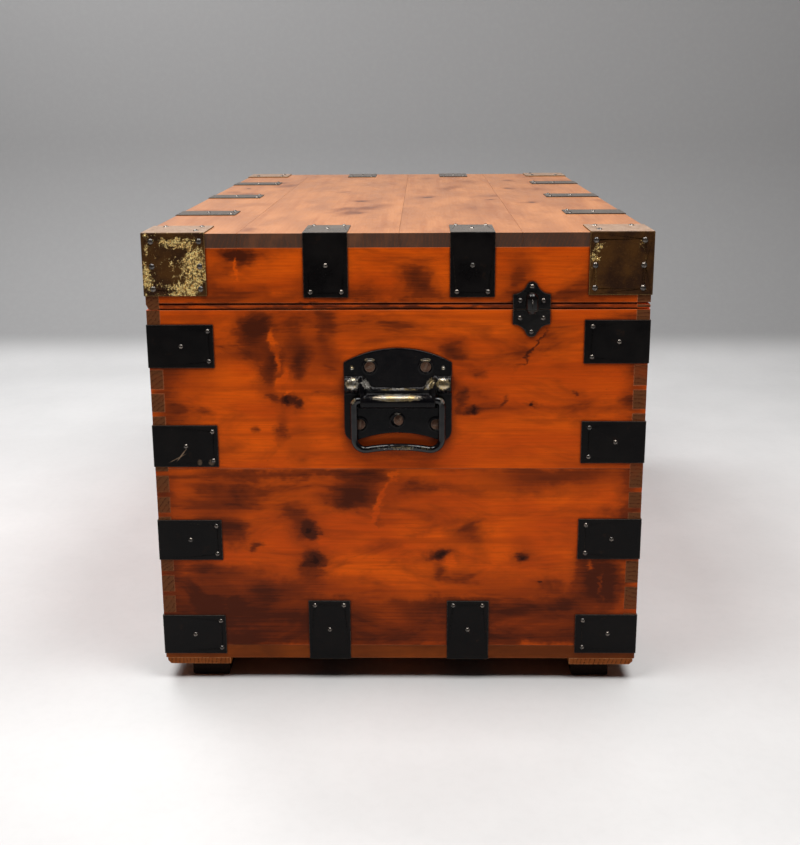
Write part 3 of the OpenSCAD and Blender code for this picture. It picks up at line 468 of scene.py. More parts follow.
def handle_finish(name, worn_top, level=0.14):
    """Gloss black with bright steel where hands rub.

    worn_top lists the rubbed places as (u, v, half-length, half-width, turn, strength).
    """
    g = Graph(name)
    p = g.position
    cloud = g.noise(p, 70.0, 4.0, 0.62)
    grit = g.noise(p, 620.0, 3.0, 0.65)
    streak = g.noise(p, 1.0, 3.0, 0.6, stretch=(300.0, 60.0, 420.0))
    side = g.axes("yzx")
    # Places worn by hands
    push = [g.math("MULTIPLY", cloud, 0.20)]
    for u, v, du, dv, angle, strength in worn_top:
        push.append(g.math("MULTIPLY", g.blob(side, (u, v), (du, dv), angle, 0.3), strength))
    broken = g.weighted((streak, 0.25), (grit, 0.50))
    worn = g.remap(g.math("ADD", g.total(push), broken), 0.60, 0.84)
    base = g.mix(g.remap(cloud, 0.4, 0.7), (0.0030, 0.0028, 0.0038), (0.0065, 0.0056, 0.0064))
    base = g.mix(g.math("MULTIPLY", g.remap(grit, 0.62, 0.76), 0.25), base, (0.08, 0.036, 0.016))
    steel = g.mix(g.remap(cloud, 0.40, 0.60), (0.62, 0.58, 0.52), (0.62, 0.46, 0.22))
    base = g.mix(worn, base, steel)
    edge = g.math("MULTIPLY", g.edges(0.0010), g.remap(grit, 0.35, 0.62))
    base = g.mix(g.math("MULTIPLY", edge, 0.35), base, (0.22, 0.19, 0.16))
    g.shader(base_color=base, metallic=g.remap(worn, 0.0, 1.0, 0.0, 0.95), ior=1.45,
             specular_ior_level=level,
             roughness=g.math("ADD", g.remap(worn, 0.0, 1.0, 0.10, 0.20), g.math("MULTIPLY", grit, 0.08)))
    g.bump(g.weighted((cloud, 1.6), (grit, 0.3)), 0.0003, 0.45)
    return g.material


# ---- Woods of the boards ----

# Marks of the left end and of the lid's rail above it, as
# (place along Y, height above the floor, half-length, half-width, turn, strength).
# Smoke is the dark spots, shades are soft darker fields, and lights are paler places.
UPPER_SMOKE = [
    (0.166, 0.430, 0.020, 0.030, 0, 0.60), (0.120, 0.420, 0.019, 0.036, 0, 0.62),
    (0.148, 0.388, 0.013, 0.026, 12, 0.55), (0.113, 0.392, 0.012, 0.022, 0, 0.45),
    (0.128, 0.3495, 0.011, 0.0045, 0, 0.85), (0.113, 0.346, 0.008, 0.004, 0, 0.75),
    (0.226, 0.334, 0.013, 0.008, 0, 0.40), (0.1335, 0.3196, 0.0075, 0.019, 0, 0.50),
    (0.163, 0.315, 0.005, 0.005, 0, 0.60), (0.146, 0.354, 0.006, 0.006, 0, 0.45),
    (-0.066, 0.410, 0.014, 0.015, 0, 0.50), (-0.0906, 0.3845, 0.012, 0.008, 0, 0.50),
    (-0.072, 0.3530, 0.010, 0.010, 20, 0.60), (-0.0853, 0.3397, 0.010, 0.005, 0, 0.75),
    (-0.1208, 0.3515, 0.006, 0.003, -35, 0.50), (-0.1542, 0.3455, 0.006, 0.005, 0, 0.60),
    (-0.201, 0.3573, 0.005, 0.004, 0, 0.45), (0.030, 0.441, 0.060, 0.010, 0, 0.20),
    (-0.151, 0.411, 0.0016, 0.026, 38, 0.60), (0.236, 0.300, 0.020, 0.012, 0, 0.35),
]
UPPER_SHADES = [
    (0.163, 0.436, 0.030, 0.021, 0, 0.42), (0.083, 0.427, 0.020, 0.038, 0, 0.50),
    (0.145, 0.383, 0.017, 0.045, 0, 0.30), (0.098, 0.391, 0.021, 0.034, 0, 0.30),
    (0.124, 0.348, 0.024, 0.012, 0, 0.45), (0.270, 0.367, 0.022, 0.068, 0, 0.45),
    (0.117, 0.299, 0.021, 0.037, 0, 0.28), (-0.131, 0.405, 0.027, 0.015, 0, 0.25),
    (-0.089, 0.353, 0.028, 0.018, 0, 0.28), (-0.223, 0.345, 0.027, 0.018, 0, 0.22),
    (0.026, 0.429, 0.063, 0.016, 0, 0.20), (-0.274, 0.354, 0.017, 0.099, 0, 0.50),
    (-0.177, 0.423, 0.031, 0.021, 0, 0.18), (0.200, 0.412, 0.024, 0.024, 0, 0.20),
    (0.245, 0.385, 0.045, 0.035, 0, 0.32), (0.235, 0.447, 0.045, 0.010, 0, 0.34),
    (0.255, 0.325, 0.030, 0.030, 0, 0.26), (0.170, 0.408, 0.040, 0.016, 0, 0.30),
    (0.068, 0.395, 0.016, 0.022, 0, 0.35), (-0.262, 0.447, 0.030, 0.010, 0, 0.40),
]
UPPER_LIGHTS = [
    (0.1430, 0.422, 0.0042, 0.016, 4, 0.75), (0.1405, 0.397, 0.0042, 0.014, 10, 0.75),
    (0.1330, 0.377, 0.0040, 0.013, 24, 0.75), (0.1245, 0.362, 0.0036, 0.009, 30, 0.65),
]
LOWER_SMOKE = [
    (0.187, 0.239, 0.046, 0.020, 0, 0.42), (0.120, 0.243, 0.030, 0.016, 0, 0.10),
    (0.121, 0.212, 0.022, 0.021, 10, 0.34), (0.105, 0.194, 0.010, 0.011, -20, 0.85),
    (0.101, 0.187, 0.007, 0.006, 0, 0.60), (0.197, 0.192, 0.018, 0.017, 0, 0.42),
    (0.169, 0.1715, 0.008, 0.0055, 0, 0.65), (0.103, 0.153, 0.015, 0.014, 0, 0.60),
    (0.105, 0.150, 0.006, 0.007, 0, 0.60), (0.052, 0.236, 0.024, 0.022, 0, 0.48),
    (0.0233, 0.2018, 0.007, 0.014, 0, 0.35), (-0.052, 0.2453, 0.050, 0.010, 0, 0.35),
    (-0.080, 0.1906, 0.025, 0.019, 0, 0.50), (-0.0466, 0.1626, 0.017, 0.006, 0, 0.60),
    (-0.047, 0.1590, 0.006, 0.006, 0, 0.80), (-0.0466, 0.140, 0.008, 0.013, 0, 0.32),
    (-0.146, 0.159, 0.008, 0.007, 0, 0.65), (-0.166, 0.127, 0.003, 0.002, 0, 0.60),
    (0.194, 0.0997, 0.010, 0.014, 15, 0.45), (-0.243, 0.126, 0.024, 0.030, 0, 0.70),
    (-0.199, 0.101, 0.022, 0.014, 0, 0.35), (0.150, 0.075, 0.160, 0.016, 0, 0.22),
    (0.235, 0.130, 0.030, 0.030, 0, 0.35), (-0.10, 0.096, 0.12, 0.010, 0, 0.25),
    (0.16, 0.115, 0.05, 0.012, 0, 0.30),
]
LOWER_SHADES = [
    (0.227, 0.240, 0.065, 0.034, 0, 0.36), (0.130, 0.225, 0.049, 0.041, 0, 0.20),
    (0.111, 0.191, 0.023, 0.023, 0, 0.45), (0.201, 0.195, 0.041, 0.031, 0, 0.30),
    (0.061, 0.242, 0.041, 0.026, 0, 0.40), (0.024, 0.251, 0.024, 0.019, 0, 0.30),
    (-0.020, 0.208, 0.033, 0.022, 0, 0.24), (-0.050, 0.167, 0.026, 0.016, 0, 0.28),
    (-0.117, 0.240, 0.048, 0.014, 0, 0.12), (-0.148, 0.169, 0.020, 0.017, 0, 0.25),
    (-0.236, 0.139, 0.029, 0.043, 0, 0.50), (-0.275, 0.200, 0.017, 0.120, 0, 0.50),
    (0.246, 0.102, 0.050, 0.045, 0, 0.35), (0.188, 0.089, 0.050, 0.027, 0, 0.30),
    (0.108, 0.150, 0.025, 0.019, 0, 0.40), (0.005, 0.060, 0.350, 0.020, 0, 0.14),
    (-0.186, 0.079, 0.066, 0.016, 0, 0.25), (-0.053, 0.089, 0.050, 0.021, 0, 0.30),
    (0.278, 0.169, 0.018, 0.140, 0, 0.50), (-0.180, 0.246, 0.110, 0.012, 0, 0.40),
    (0.030, 0.226, 0.030, 0.014, 0, 0.30), (0.240, 0.200, 0.050, 0.028, 0, 0.35),
    (-0.095, 0.172, 0.016, 0.020, 0, 0.28), (0.195, 0.139, 0.035, 0.016, 0, 0.42),
    (0.100, 0.128, 0.050, 0.012, 0, 0.28), (-0.150, 0.130, 0.100, 0.016, 0, 0.26),
    (0.060, 0.104, 0.300, 0.024, 0, 0.42), (-0.190, 0.106, 0.090, 0.026, 0, 0.28),
    (0.0, 0.070, 0.400, 0.030, 0, 0.34), (0.100, 0.090, 0.060, 0.020, 0, 0.26),
    (0.150, 0.264, 0.120, 0.010, 0, 0.52), (-0.190, 0.263, 0.120, 0.013, 0, 0.68),
    (0.050, 0.264, 0.060, 0.007, 0, 0.26), (0.150, 0.128, 0.070, 0.020, 0, 0.26),
    (-0.180, 0.052, 0.100, 0.010, 0, 0.34), (0.170, 0.050, 0.060, 0.008, 0, 0.22),
    (-0.218, 0.160, 0.010, 0.040, 12, 0.26), (-0.256, 0.118, 0.012, 0.040, 0, 0.22),
    (0.000, 0.052, 0.300, 0.016, 0, 0.26), (-0.225, 0.062, 0.040, 0.014, 0, 0.32),
    (0.165, 0.112, 0.018, 0.040, 0, 0.18), (-0.014, 0.246, 0.026, 0.014, 0, 0.30),
    (0.215, 0.080, 0.050, 0.030, 0, 0.20), (-0.094, 0.055, 0.020, 0.012, 0, 0.24),
]
LOWER_LIGHTS = [
    (0.010, 0.2560, 0.0035, 0.011, 40, 0.60), (0.021, 0.2360, 0.0050, 0.011, 20, 0.70),
    (0.0255, 0.219, 0.0050, 0.013, 8, 0.65), (0.031, 0.199, 0.0060, 0.007, 10, 0.50),
    (-0.230, 0.147, 0.0030, 0.008, -15, 0.55), (-0.2415, 0.124, 0.0032, 0.018, 0, 0.65),
    (-0.0600, 0.150, 0.006, 0.010, 0, 0.25), (0.088, 0.178, 0.008, 0.006, 0, 0.30),
    (0.010, 0.183, 0.060, 0.011, 0, 0.34), (0.060, 0.163, 0.026, 0.012, 0, 0.36),
    (-0.015, 0.204, 0.020, 0.012, 0, 0.26),
]
LID_SMOKE = [
    (0.1806, 0.516, 0.021, 0.0065, 0, 0.65), (-0.020, 0.497, 0.024, 0.016, -30, 0.55),
    (-0.028, 0.485, 0.020, 0.014, 0, 0.40), (-0.139, 0.502, 0.020, 0.020, -30, 0.52),
    (0.189, 0.480, 0.030, 0.007, 0, 0.40), (0.060, 0.475, 0.110, 0.008, 0, 0.40),
    (-0.170, 0.474, 0.060, 0.008, 0, 0.35), (0.10, 0.488, 0.02, 0.012, 0, 0.30),
]
# The first shade darkens the bead under the rail: its dark quirk, and painted shade there
LID_SHADES = [
    (0.0, 0.459, 0.400, 0.0035, 0, 0.60), (0.060, 0.483, 0.050, 0.012, 0, 0.20),
    (0.170, 0.467, 0.140, 0.010, 0, 0.36), (-0.150, 0.467, 0.160, 0.011, 0, 0.40),
    (0.175, 0.521, 0.020, 0.008, 0, 0.30), (-0.130, 0.486, 0.024, 0.014, 0, 0.35),
    (0.185, 0.508, 0.050, 0.020, 0, 0.18), (-0.203, 0.486, 0.022, 0.012, 0, 0.38),
    (-0.225, 0.497, 0.020, 0.020, 0, 0.30), (0.205, 0.490, 0.020, 0.020, 0, 0.25),
]
LID_LIGHTS = [(0.1806, 0.508, 0.0022, 0.013, 0, 0.60), (0.1806, 0.500, 0.012, 0.004, 0, 0.2)]

# Knots of the left end: (place along Y, height above the floor, radius)
UPPER_KNOTS = [(0.128, 0.3495, 0.0035), (-0.0853, 0.3397, 0.0032), (-0.1542, 0.3455, 0.0030)]
LOWER_KNOTS = [(0.105, 0.192, 0.0040), (0.103, 0.152, 0.0045),
               (-0.047, 0.160, 0.0045), (-0.146, 0.159, 0.0032)]

# Lowest and highest place of a mark on the boards that get theirs by chance
END_HEIGHTS = {"right_end_board_upper": (0.27, 0.45), "right_end_board_lower": (0.05, 0.26),
               "lid_right_rail": (0.46, 0.52)}
SIDE_HEIGHTS = {"front_board_upper": (0.24, 0.45), "front_board_lower": (0.05, 0.23),
                "back_board_upper": (0.24, 0.45), "back_board_lower": (0.05, 0.23),
                "lid_front_rail": (0.46, 0.52), "lid_back_rail": (0.46, 0.52)}
END_REACH, SIDE_REACH = 0.26, 0.45  # how far from the middle of an end or a side the marks go
LID_PLANKS, BOTTOM_PLANKS = 4, 5


def board_woods():
    """The material of each wooden node, by name."""
    found = {
        "left_end_board_upper": wood(
            "pine_left_end_upper", "yzx", VARNISHED, UPPER_SMOKE, UPPER_LIGHTS, UPPER_KNOTS, UPPER_SHADES,
            pith=(0.30, 0.42), rub_and_highlight=0.85, shade_and_dirt=0.75, inner=(0, 1.0)),
        "left_end_board_lower": wood(
            "pine_left_end_lower", "yzx", VARNISHED, LOWER_SMOKE, LOWER_LIGHTS, LOWER_KNOTS, LOWER_SHADES,
            pith=(0.42, 0.44), shade_and_dirt=0.75, inner=(0, 1.0)),
        "lid_left_rail": wood("pine_lid_left", "yzx", VARNISHED, LID_SMOKE, LID_LIGHTS, (), LID_SHADES,
                              pith=(-0.20, 0.43), rub_and_highlight=0.85, shade_and_dirt=0.75, inner=(0, 1.0)),
    }
    for name, (low, high) in END_HEIGHTS.items():
        smoke, knots = chance_marks(-END_REACH, END_REACH, low, high, 7, 1 if "rail" in name else 3)
        found[name] = wood("pine_" + name, "yzx", VARNISHED, smoke, (), knots, (), pith=(0.35, -0.45),
                           inner=(0, -1.0))
    for name, (low, high) in SIDE_HEIGHTS.items():
        smoke, knots = chance_marks(-SIDE_REACH, SIDE_REACH, low, high, 10, 2 if "rail" in name else 5)
        found[name] = wood("pine_" + name, "xzy", VARNISHED, smoke, (), knots, (), pith=(0.30, 0.26),
                           inner=(1, 1.0 if "front" in name else -1.0))
    for i in range(1, LID_PLANKS + 1):
        low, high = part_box("lid_plank_%d" % i)
        smoke, knots = chance_marks(-SIDE_REACH, SIDE_REACH, low[1], high[1], 6, 2)
        found["lid_plank_%d" % i] = wood(
            "pine_lid_plank_%d" % i, "xyz", LID_TOP_SHEEN, smoke, (), knots, (), pith=(0.5 - 0.02 * i, -0.40),
            gloss=0.33, coat=0.25, level=0.5, ring_share=0.20, smoke_share=0.4, rub_and_highlight=0.0, inner=(2, -1.0))
    for i in range(1, BOTTOM_PLANKS + 1):
        tones = PLANK_EDGE if i in (1, BOTTOM_PLANKS) else DULL
        found["bottom_plank_%d" % i] = wood("pine_bottom_%d" % i, "yxz", tones, pith=(0.2, 0.02), gloss=0.5,
                                            inner=(2, 1.0))
    for name in ("front_batten", "back_batten"):
        found[name] = wood("pine_" + name, "xyz", WORN_EDGE, pith=(0.4, 0.03), gloss=0.55, rub_and_highlight=1.2)
    # The runners take the near-black tones of painted shade
    for name in ("front_runner", "back_runner"):
        found[name] = wood("pine_" + name, "xyz", SHADED, pith=(0.4, 0.03), gloss=0.6, rub_and_highlight=0.1)
    return found


def use(node, material):
    """Gives a carried-over node its material."""
    for slot in NODES[node].material_slots:
        slot.material = material


def soften(node, width):
    """Rounds the arrises of a node; the split corners of its carried-over mesh are welded first."""
    weld = NODES[node].modifiers.new("weld", "WELD")
    weld.merge_threshold = 1e-6
    bevel = NODES[node].modifiers.new("bevel", "BEVEL")
    bevel.width = width
    bevel.segments = 2
    bevel.limit_method = "ANGLE"
    bevel.angle_limit = math.radians(35.0)
    bevel.use_clamp_overlap = True


for node, material in board_woods().items():
    use(node, material)
    soften(node, 0.0001 if "lid_plank" in node else 0.0005)

STRAPS = {
    "corner_straps_front_left": japanned("iron_front_left", 0.25),
    "corner_straps_back_left": japanned(
        "iron_back_left", 0.2, marks=[
            (0.252, 0.287, 0.013, 0.0009, -52, 0.9), (0.258, 0.282, 0.014, 0.0006, -28, 0.7),
            (0.232, 0.277, 0.0035, 0.0045, 0, 0.35), (0.218, 0.277, 0.0045, 0.0045, 0, 0.45)]),
    "corner_straps_front_right": japanned("iron_front_right", 0.25),
    "corner_straps_back_right": japanned("iron_back_right", 0.25),
    "bottom_straps_ends": japanned("iron_bottom_ends", 0.35),
    "bottom_straps_sides": japanned("iron_bottom_sides", 0.35),
    # The lid's straps get more of the painted sheen on their tops
    "lid_straps_ends": japanned("iron_lid_ends", 0.15, gloss=0.28, dust_and_sheen=0.72),
    "lid_straps_sides": japanned("iron_lid_sides", 0.2, gloss=0.30, dust_and_sheen=0.6),
}
for node, material in STRAPS.items():
    use(node, material)
    soften(node, 0.0003)

GUIDE_IRON = japanned("iron_guides", 0.08, 0.9, 0.14, dust_and_sheen=0.1, level=0.5)
for end in ("left", "right"):
    for plate in ("socket", "pin"):
        node = "%s_guide_%s_plate" % (end, plate)
        use(node, GUIDE_IRON)
        soften(node, 0.0004)

HINGE_IRON = japanned("iron_hinges", 0.3, 0.6, 0.36)
use("hinge_pins", HINGE_IRON)
for end in ("left", "right"):
    for half in ("box", "lid"):
        use("%s_hinge_%s_strap" % (end, half), HINGE_IRON)

NAILS = worn_nails("nails")
for node in ("box_strap_nails", "lid_strap_nails"):
    use(node, NAILS)

SCREWS = rusty_screws("screws")
for node in ("handle_screws", "box_hinge_screws", "lid_screws", "lock_screws"):
    use(node, SCREWS)

BACK_LEFT_PATCHES = [
    (0.281, 0.495, 0.009, 0.024, 0, 0.30), (0.281, 0.530, 0.005, 0.020, 0, 0.16),
    (0.226, 0.508, 0.019, 0.040, 0, 0.30), (0.247, 0.533, 0.030, 0.010, 0, 0.26),
    (0.240, 0.480, 0.026, 0.015, 0, 0.28), (0.243, 0.505, 0.026, 0.022, 0, 0.10),
]
FRONT_LEFT_PATCHES = [
    (-0.220, 0.512, 0.014, 0.024, 0, 0.26), (-0.235, 0.528, 0.020, 0.009, 0, 0.22),
    (-0.272, 0.530, 0.012, 0.014, 0, 0.18), (-0.225, 0.530, 0.010, 0.010, 0, 0.15),
]
for corner, patches, bare in (("back_left", BACK_LEFT_PATCHES, 0.44),
                              ("front_left", FRONT_LEFT_PATCHES, 0.56),
                              ("front_right", [], 0.44),
                              ("back_right", [], 0.46)):
    use("lid_bracket_" + corner, patinated_brass("brass_" + corner, patches, bare))
    soften("lid_bracket_" + corner, 0.0004)

LOCK_BRASS = patinated_brass("brass_lock", [], 0.40)
for node in ("lock_case", "lock_bolt", "keyhole_plate", "lock_link_plate"):
    use(node, LOCK_BRASS)
    soften(node, 0.0003)

# ---- Handles ----

# Places on the plate are u from its middle and v above the underside of the case
CASE_Z = 0.028  # underside of the case, above the floor
END_X = 0.485  # outer face of the end boards
PIVOT_Z = CASE_Z + 0.325  # axis of the bail
PIVOT_OUT = 0.0075  # the same, out from the end board
PLATE_HALF = 0.0618  # half the width of the plate
PLATE_T = 0.0016  # how far the plate's flat stands out
SHEET_T = 0.0009  # thickness of the sheet that it is pressed from
RIM_DROP = 0.0006  # the rim is rounded down by this much, over this width
RIM_WIDTH = 0.0010
CROWN_V = 0.3848  # top of the arched upper edge
CROWN_RISE = 0.0168  # its rise over the shoulders
LOBE_V = 0.288  # middle of the round lower corners
LOBE_R = 0.014
HOLLOW_V = 0.285  # highest place of the hollow lower edge
HOLLOW_R = 0.127
RIDGE_V = 0.3232  # middle line of the ridge, its half-width and how far it stands out
RIDGE_HALF = 0.0082
RIDGE_OUT = 0.0112
LIP_V = 0.3362  # middle line of the lip above the ridge, and its rise towards the hoods
LIP_RISE = 0.0138
LIP_HALF = 0.0022
LIP_OUT = 0.0034
SHELF_OUT = 0.0026  # flat between the ridge and the lip
RISE_FOOT_V = 0.3150  # lower end of the shoulders that join the ridge to the hoods
RISE_OUT = 0.0085
HOOD_V = 0.3420  # middle line of the hoods
HOOD_HALF = 0.0102
HOOD_OUT = 0.0072
FLUTE_U = 0.0465  # place, depth and spacing of the flutes across the hoods
FLUTE_DEPTH = 0.0006
FLUTE_PITCH = 0.0050
BLEND = 0.0007  # how softly the raised shapes run into each other
PIMPLE_U = 0.0522  # the two pimples beside the upper screws
PIMPLE_V = 0.3610
PIMPLE_OUT = 0.0016
SEAT_DEPTH = 0.0007  # the screw seats are sunk, and each has a raised rim
SEAT_RIM = 0.0008
SCREW_SEATS = [(-0.032, 0.363), (0.032, 0.363), (-0.044, 0.295), (0.044, 0.295), (0.001, 0.300)]


def smooth(value, low, high):
    """0 up to low and 1 from high on, with a smooth step between."""
    t = max(0.0, min(1.0, (value - low) / (high - low)))
    return t * t * (3 - 2 * t)


def plate_limits(u):
    """Lowest and highest v of the handle plate at u."""
    crown_r = (PLATE_HALF ** 2 + CROWN_RISE ** 2) / (2 * CROWN_RISE)
    top = CROWN_V - crown_r + math.sqrt(crown_r ** 2 - u * u)
    beyond = abs(u) - (PLATE_HALF - LOBE_R)
    low = LOBE_V - (math.sqrt(max(0.0, LOBE_R ** 2 - beyond ** 2)) if beyond > 0 else LOBE_R)
    hollow = HOLLOW_V - HOLLOW_R + math.sqrt(HOLLOW_R ** 2 - u * u)
    return max(low, hollow), top


def bar_height(across, half, out):
    """Height of a round bar that stands out of the plate, at a distance across from its middle line."""
    r = (half * half + out * out) / (2 * out)
    inside = r * r - across * across
    return max(0.0, out - r + math.sqrt(inside)) if inside > 0 else 0.0


def plate_height(u, v):
    """Distance of the plate's outer face from the end board."""
    a = abs(u)
    # The lip above the ridge sweeps up to the hoods at its ends
    lip_v = LIP_V + LIP_RISE * smooth(a, 0.0275, 0.0425)
    inner = 1 - smooth(a, 0.0410, 0.0450)
    ridge = bar_height(v - RIDGE_V, RIDGE_HALF, RIDGE_OUT) * (1 - smooth(a, 0.0425, 0.0452))
    lip = bar_height(v - lip_v, LIP_HALF, LIP_OUT) * inner
    shelf = SHELF_OUT * smooth(v, 0.3240, 0.3300) * (1 - smooth(v, lip_v - 0.0010, lip_v)) * inner
    rise = bar_height(v - (lip_v + RISE_FOOT_V) / 2, (lip_v - RISE_FOOT_V) / 2, RISE_OUT)
    rise *= smooth(a, 0.0330, 0.0400) * (1 - smooth(a, 0.0425, 0.0455))
    flutes = FLUTE_DEPTH * math.cos(2 * math.pi * (a - FLUTE_U) / FLUTE_PITCH)
    hood = bar_height(v - HOOD_V, HOOD_HALF, HOOD_OUT)
    hood += flutes * smooth(HOOD_HALF - abs(v - HOOD_V), 0.0, 0.004)
    hood *= smooth(a, 0.0400, 0.0455) * (1 - smooth(a, 0.0606, 0.0620))
    shapes = [ridge, hood, lip, shelf, rise]
    top = max(shapes)
    fillet = BLEND * math.log(sum(math.exp((h - top) / BLEND) for h in shapes))
    height = PLATE_T + (top + fillet * smooth(top, 0.0, 0.002))
    for seat_u, seat_v in SCREW_SEATS:
        d = math.hypot(u - seat_u, v - seat_v)
        height -= SEAT_DEPTH * (1 - smooth(d, 0.0062, 0.0078))
        height += SEAT_RIM * smooth(d, 0.0066, 0.0078) * (1 - smooth(d, 0.0078, 0.0092))
    for s in (-1, 1):
        d = math.hypot(u - s * PIMPLE_U, v - PIMPLE_V)
        height += PIMPLE_OUT * (1 - smooth(d, 0.0004, 0.0028))
    return height


def link_mesh(name, verts, faces):
    """A new object with this mesh, smooth on its four-sided faces."""
    mesh = bpy.data.meshes.new(name)
    mesh.from_pydata(verts, [], faces)
    mesh.validate()
    for polygon in mesh.polygons:
        polygon.use_smooth = len(polygon.vertices) == 4
    obj = bpy.data.objects.new(name, mesh)
    bpy.context.collection.objects.link(obj)
    return obj


def handle_plate(name, side):
    """Pressed plate as a sheet with the ridge, the two hoods and the screw seats."""
    columns, rows = 180, 130
    verts, faces = [], []
    for i in range(columns + 1):
        # The columns stand a little closer together towards the sides
        u = -math.cos(math.pi * i / columns) * 0.15 + (2 * i / columns - 1) * 0.85
        u *= PLATE_HALF
        low, high = plate_limits(u)
        for j in range(rows + 1):
            v = low + (high - low) * j / rows
            rim = min(u + PLATE_HALF, PLATE_HALF - u, v - low, high - v)
            x = plate_height(u, v) - RIM_DROP * (1 - smooth(rim, 0.0, RIM_WIDTH))
            verts.append((side * (END_X + x), u, CASE_Z + v))
    stride = rows + 1
    for i in range(columns):
        for j in range(rows):
            corner = [i * stride + j, (i + 1) * stride + j, (i + 1) * stride + j + 1, i * stride + j + 1]
            mid = [sum(verts[c][k] for c in corner) / 4 for k in range(3)]
            # The pintles leave the ridge through its open ends
            if 0.0430 < abs(mid[1]) < 0.0460 and abs(mid[2] - PIVOT_Z) < 0.0050:
                continue
            faces.append(corner if side > 0 else corner[::-1])
    obj = link_mesh(name, verts, faces)
    shell = obj.modifiers.new("sheet", "SOLIDIFY")
    shell.thickness = SHEET_T
    shell.offset = -1.0
    return obj


def bail_line():
    """Middle line of the bail in millimetres from its pivot, with the direction of travel in degrees."""
    top_r, corner_r, bow, half, drop = 6.0, 13.0, 10.0, 50.5, 58.7
    sin, cos, rad = math.sin, math.cos, math.radians
    bar_half = half - corner_r * (1 + sin(rad(bow)))
    bar_r = bar_half / sin(rad(bow))
    corner_y = corner_r - drop
    bar_y = corner_y - (corner_r + bar_r) * cos(rad(bow))
    # The pintle is straight, from its end to the first bend
    points = [(30.0, 0.0, 0.0), (36.0, 0.0, 0.0), (41.0, 0.0, 0.0)]
    points += [(half - top_r + top_r * sin(rad(a)), top_r * cos(rad(a)) - top_r, -a)
               for a in range(0, 91, 10)]
    steps = 10
    points += [(half, -top_r + (corner_y + top_r) * s / steps, -90.0) for s in range(1, steps)]
    points += [(half - corner_r + corner_r * cos(rad(a)), corner_y - corner_r * sin(rad(a)), -90.0 - a)
               for a in range(0, 101, 10)]
    fine = [bow - 0.5 * s for s in range(1, int(bow / 0.5) + 1)]
    points += [(bar_r * sin(rad(a)), bar_y + bar_r * cos(rad(a)), 180.0 - a) for a in fine]
    return points + [(-x, y, -turn) for x, y, turn in reversed(points[:-1])]


def handle_bail(name, side):
    """Round rod, a touch uneven from forging, bent to the same line as the solid bail."""
    sides, radius = 28, 0.00425
    line = bail_line()
    verts, faces = [], []
    for k, (x, y, turn) in enumerate(line):
        r = radius * (0.985 + 0.015 * math.sin(k * 1.7) * math.sin(k * 0.31))
        for i in range(sides):
            a = 2 * math.pi * i / sides
            across = r * math.cos(a)
            u = x / 1000 - across * math.sin(math.radians(turn))
            v = y / 1000 + across * math.cos(math.radians(turn))
            verts.append((side * (END_X + PIVOT_OUT + r * math.sin(a)), u, PIVOT_Z + v))
    last = len(line) - 1
    for k in range(last):
        for i in range(sides):
            j = (i + 1) % sides
            faces.append((k * sides + i, (k + 1) * sides + i, (k + 1) * sides + j, k * sides + j))
    faces.append(tuple(range(sides)))
    faces.append(tuple(last * sides + i for i in reversed(range(sides))))
    if side < 0:
        faces = [f[::-1] for f in faces]
    return link_mesh(name, verts, faces)


PLATE_FINISH = handle_finish("handle_plate_japan", [
    (0.0, CASE_Z + 0.3285, 0.044, 0.0052, 0, 0.34), (0.052, CASE_Z + 0.3440, 0.0115, 0.0105, 0, 0.34),
    (-0.052, CASE_Z + 0.3440, 0.0115, 0.0105, 0, 0.34), (0.0365, CASE_Z + 0.3430, 0.0065, 0.0110, -35, 0.30),
    (-0.0365, CASE_Z + 0.3430, 0.0065, 0.0110, 35, 0.30), (0.0, CASE_Z + 0.3370, 0.034, 0.0022, 0, 0.22),
    (0.032, CASE_Z + 0.3712, 0.0085, 0.0032, 0, 0.34), (-0.032, CASE_Z + 0.3712, 0.0085, 0.0032, 0, 0.34),
    (0.0522, CASE_Z + 0.3620, 0.0032, 0.0032, 0, 0.36), (-0.0522, CASE_Z + 0.3620, 0.0032, 0.0032, 0, 0.36),
    (0.001, CASE_Z + 0.3080, 0.0070, 0.0020, 0, 0.22)])
BAIL_FINISH = handle_finish("handle_bail_japan", [
    (0.0520, PIVOT_Z + 0.001, 0.006, 0.007, 0, 0.28), (-0.0520, PIVOT_Z + 0.001, 0.006, 0.007, 0, 0.28),
    (0.0, PIVOT_Z - 0.056, 0.060, 0.0040, 0, 0.16)], 0.5)
for end, side, body in (("left", -1, "left_bail"), ("right", 1, "right_bail")):
    plate = handle_plate(end + "_handle_plate_sheet", side)
    plate.data.materials.append(PLATE_FINISH)
    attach(plate, "box")
    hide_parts(end + "_handle_plate")
    bail = handle_bail(end + "_handle_bail_rod", side)
    bail.data.materials.append(BAIL_FINISH)
    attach(bail, body)
    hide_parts(end + "_handle_bail")

# ---- Floor and backdrop ----


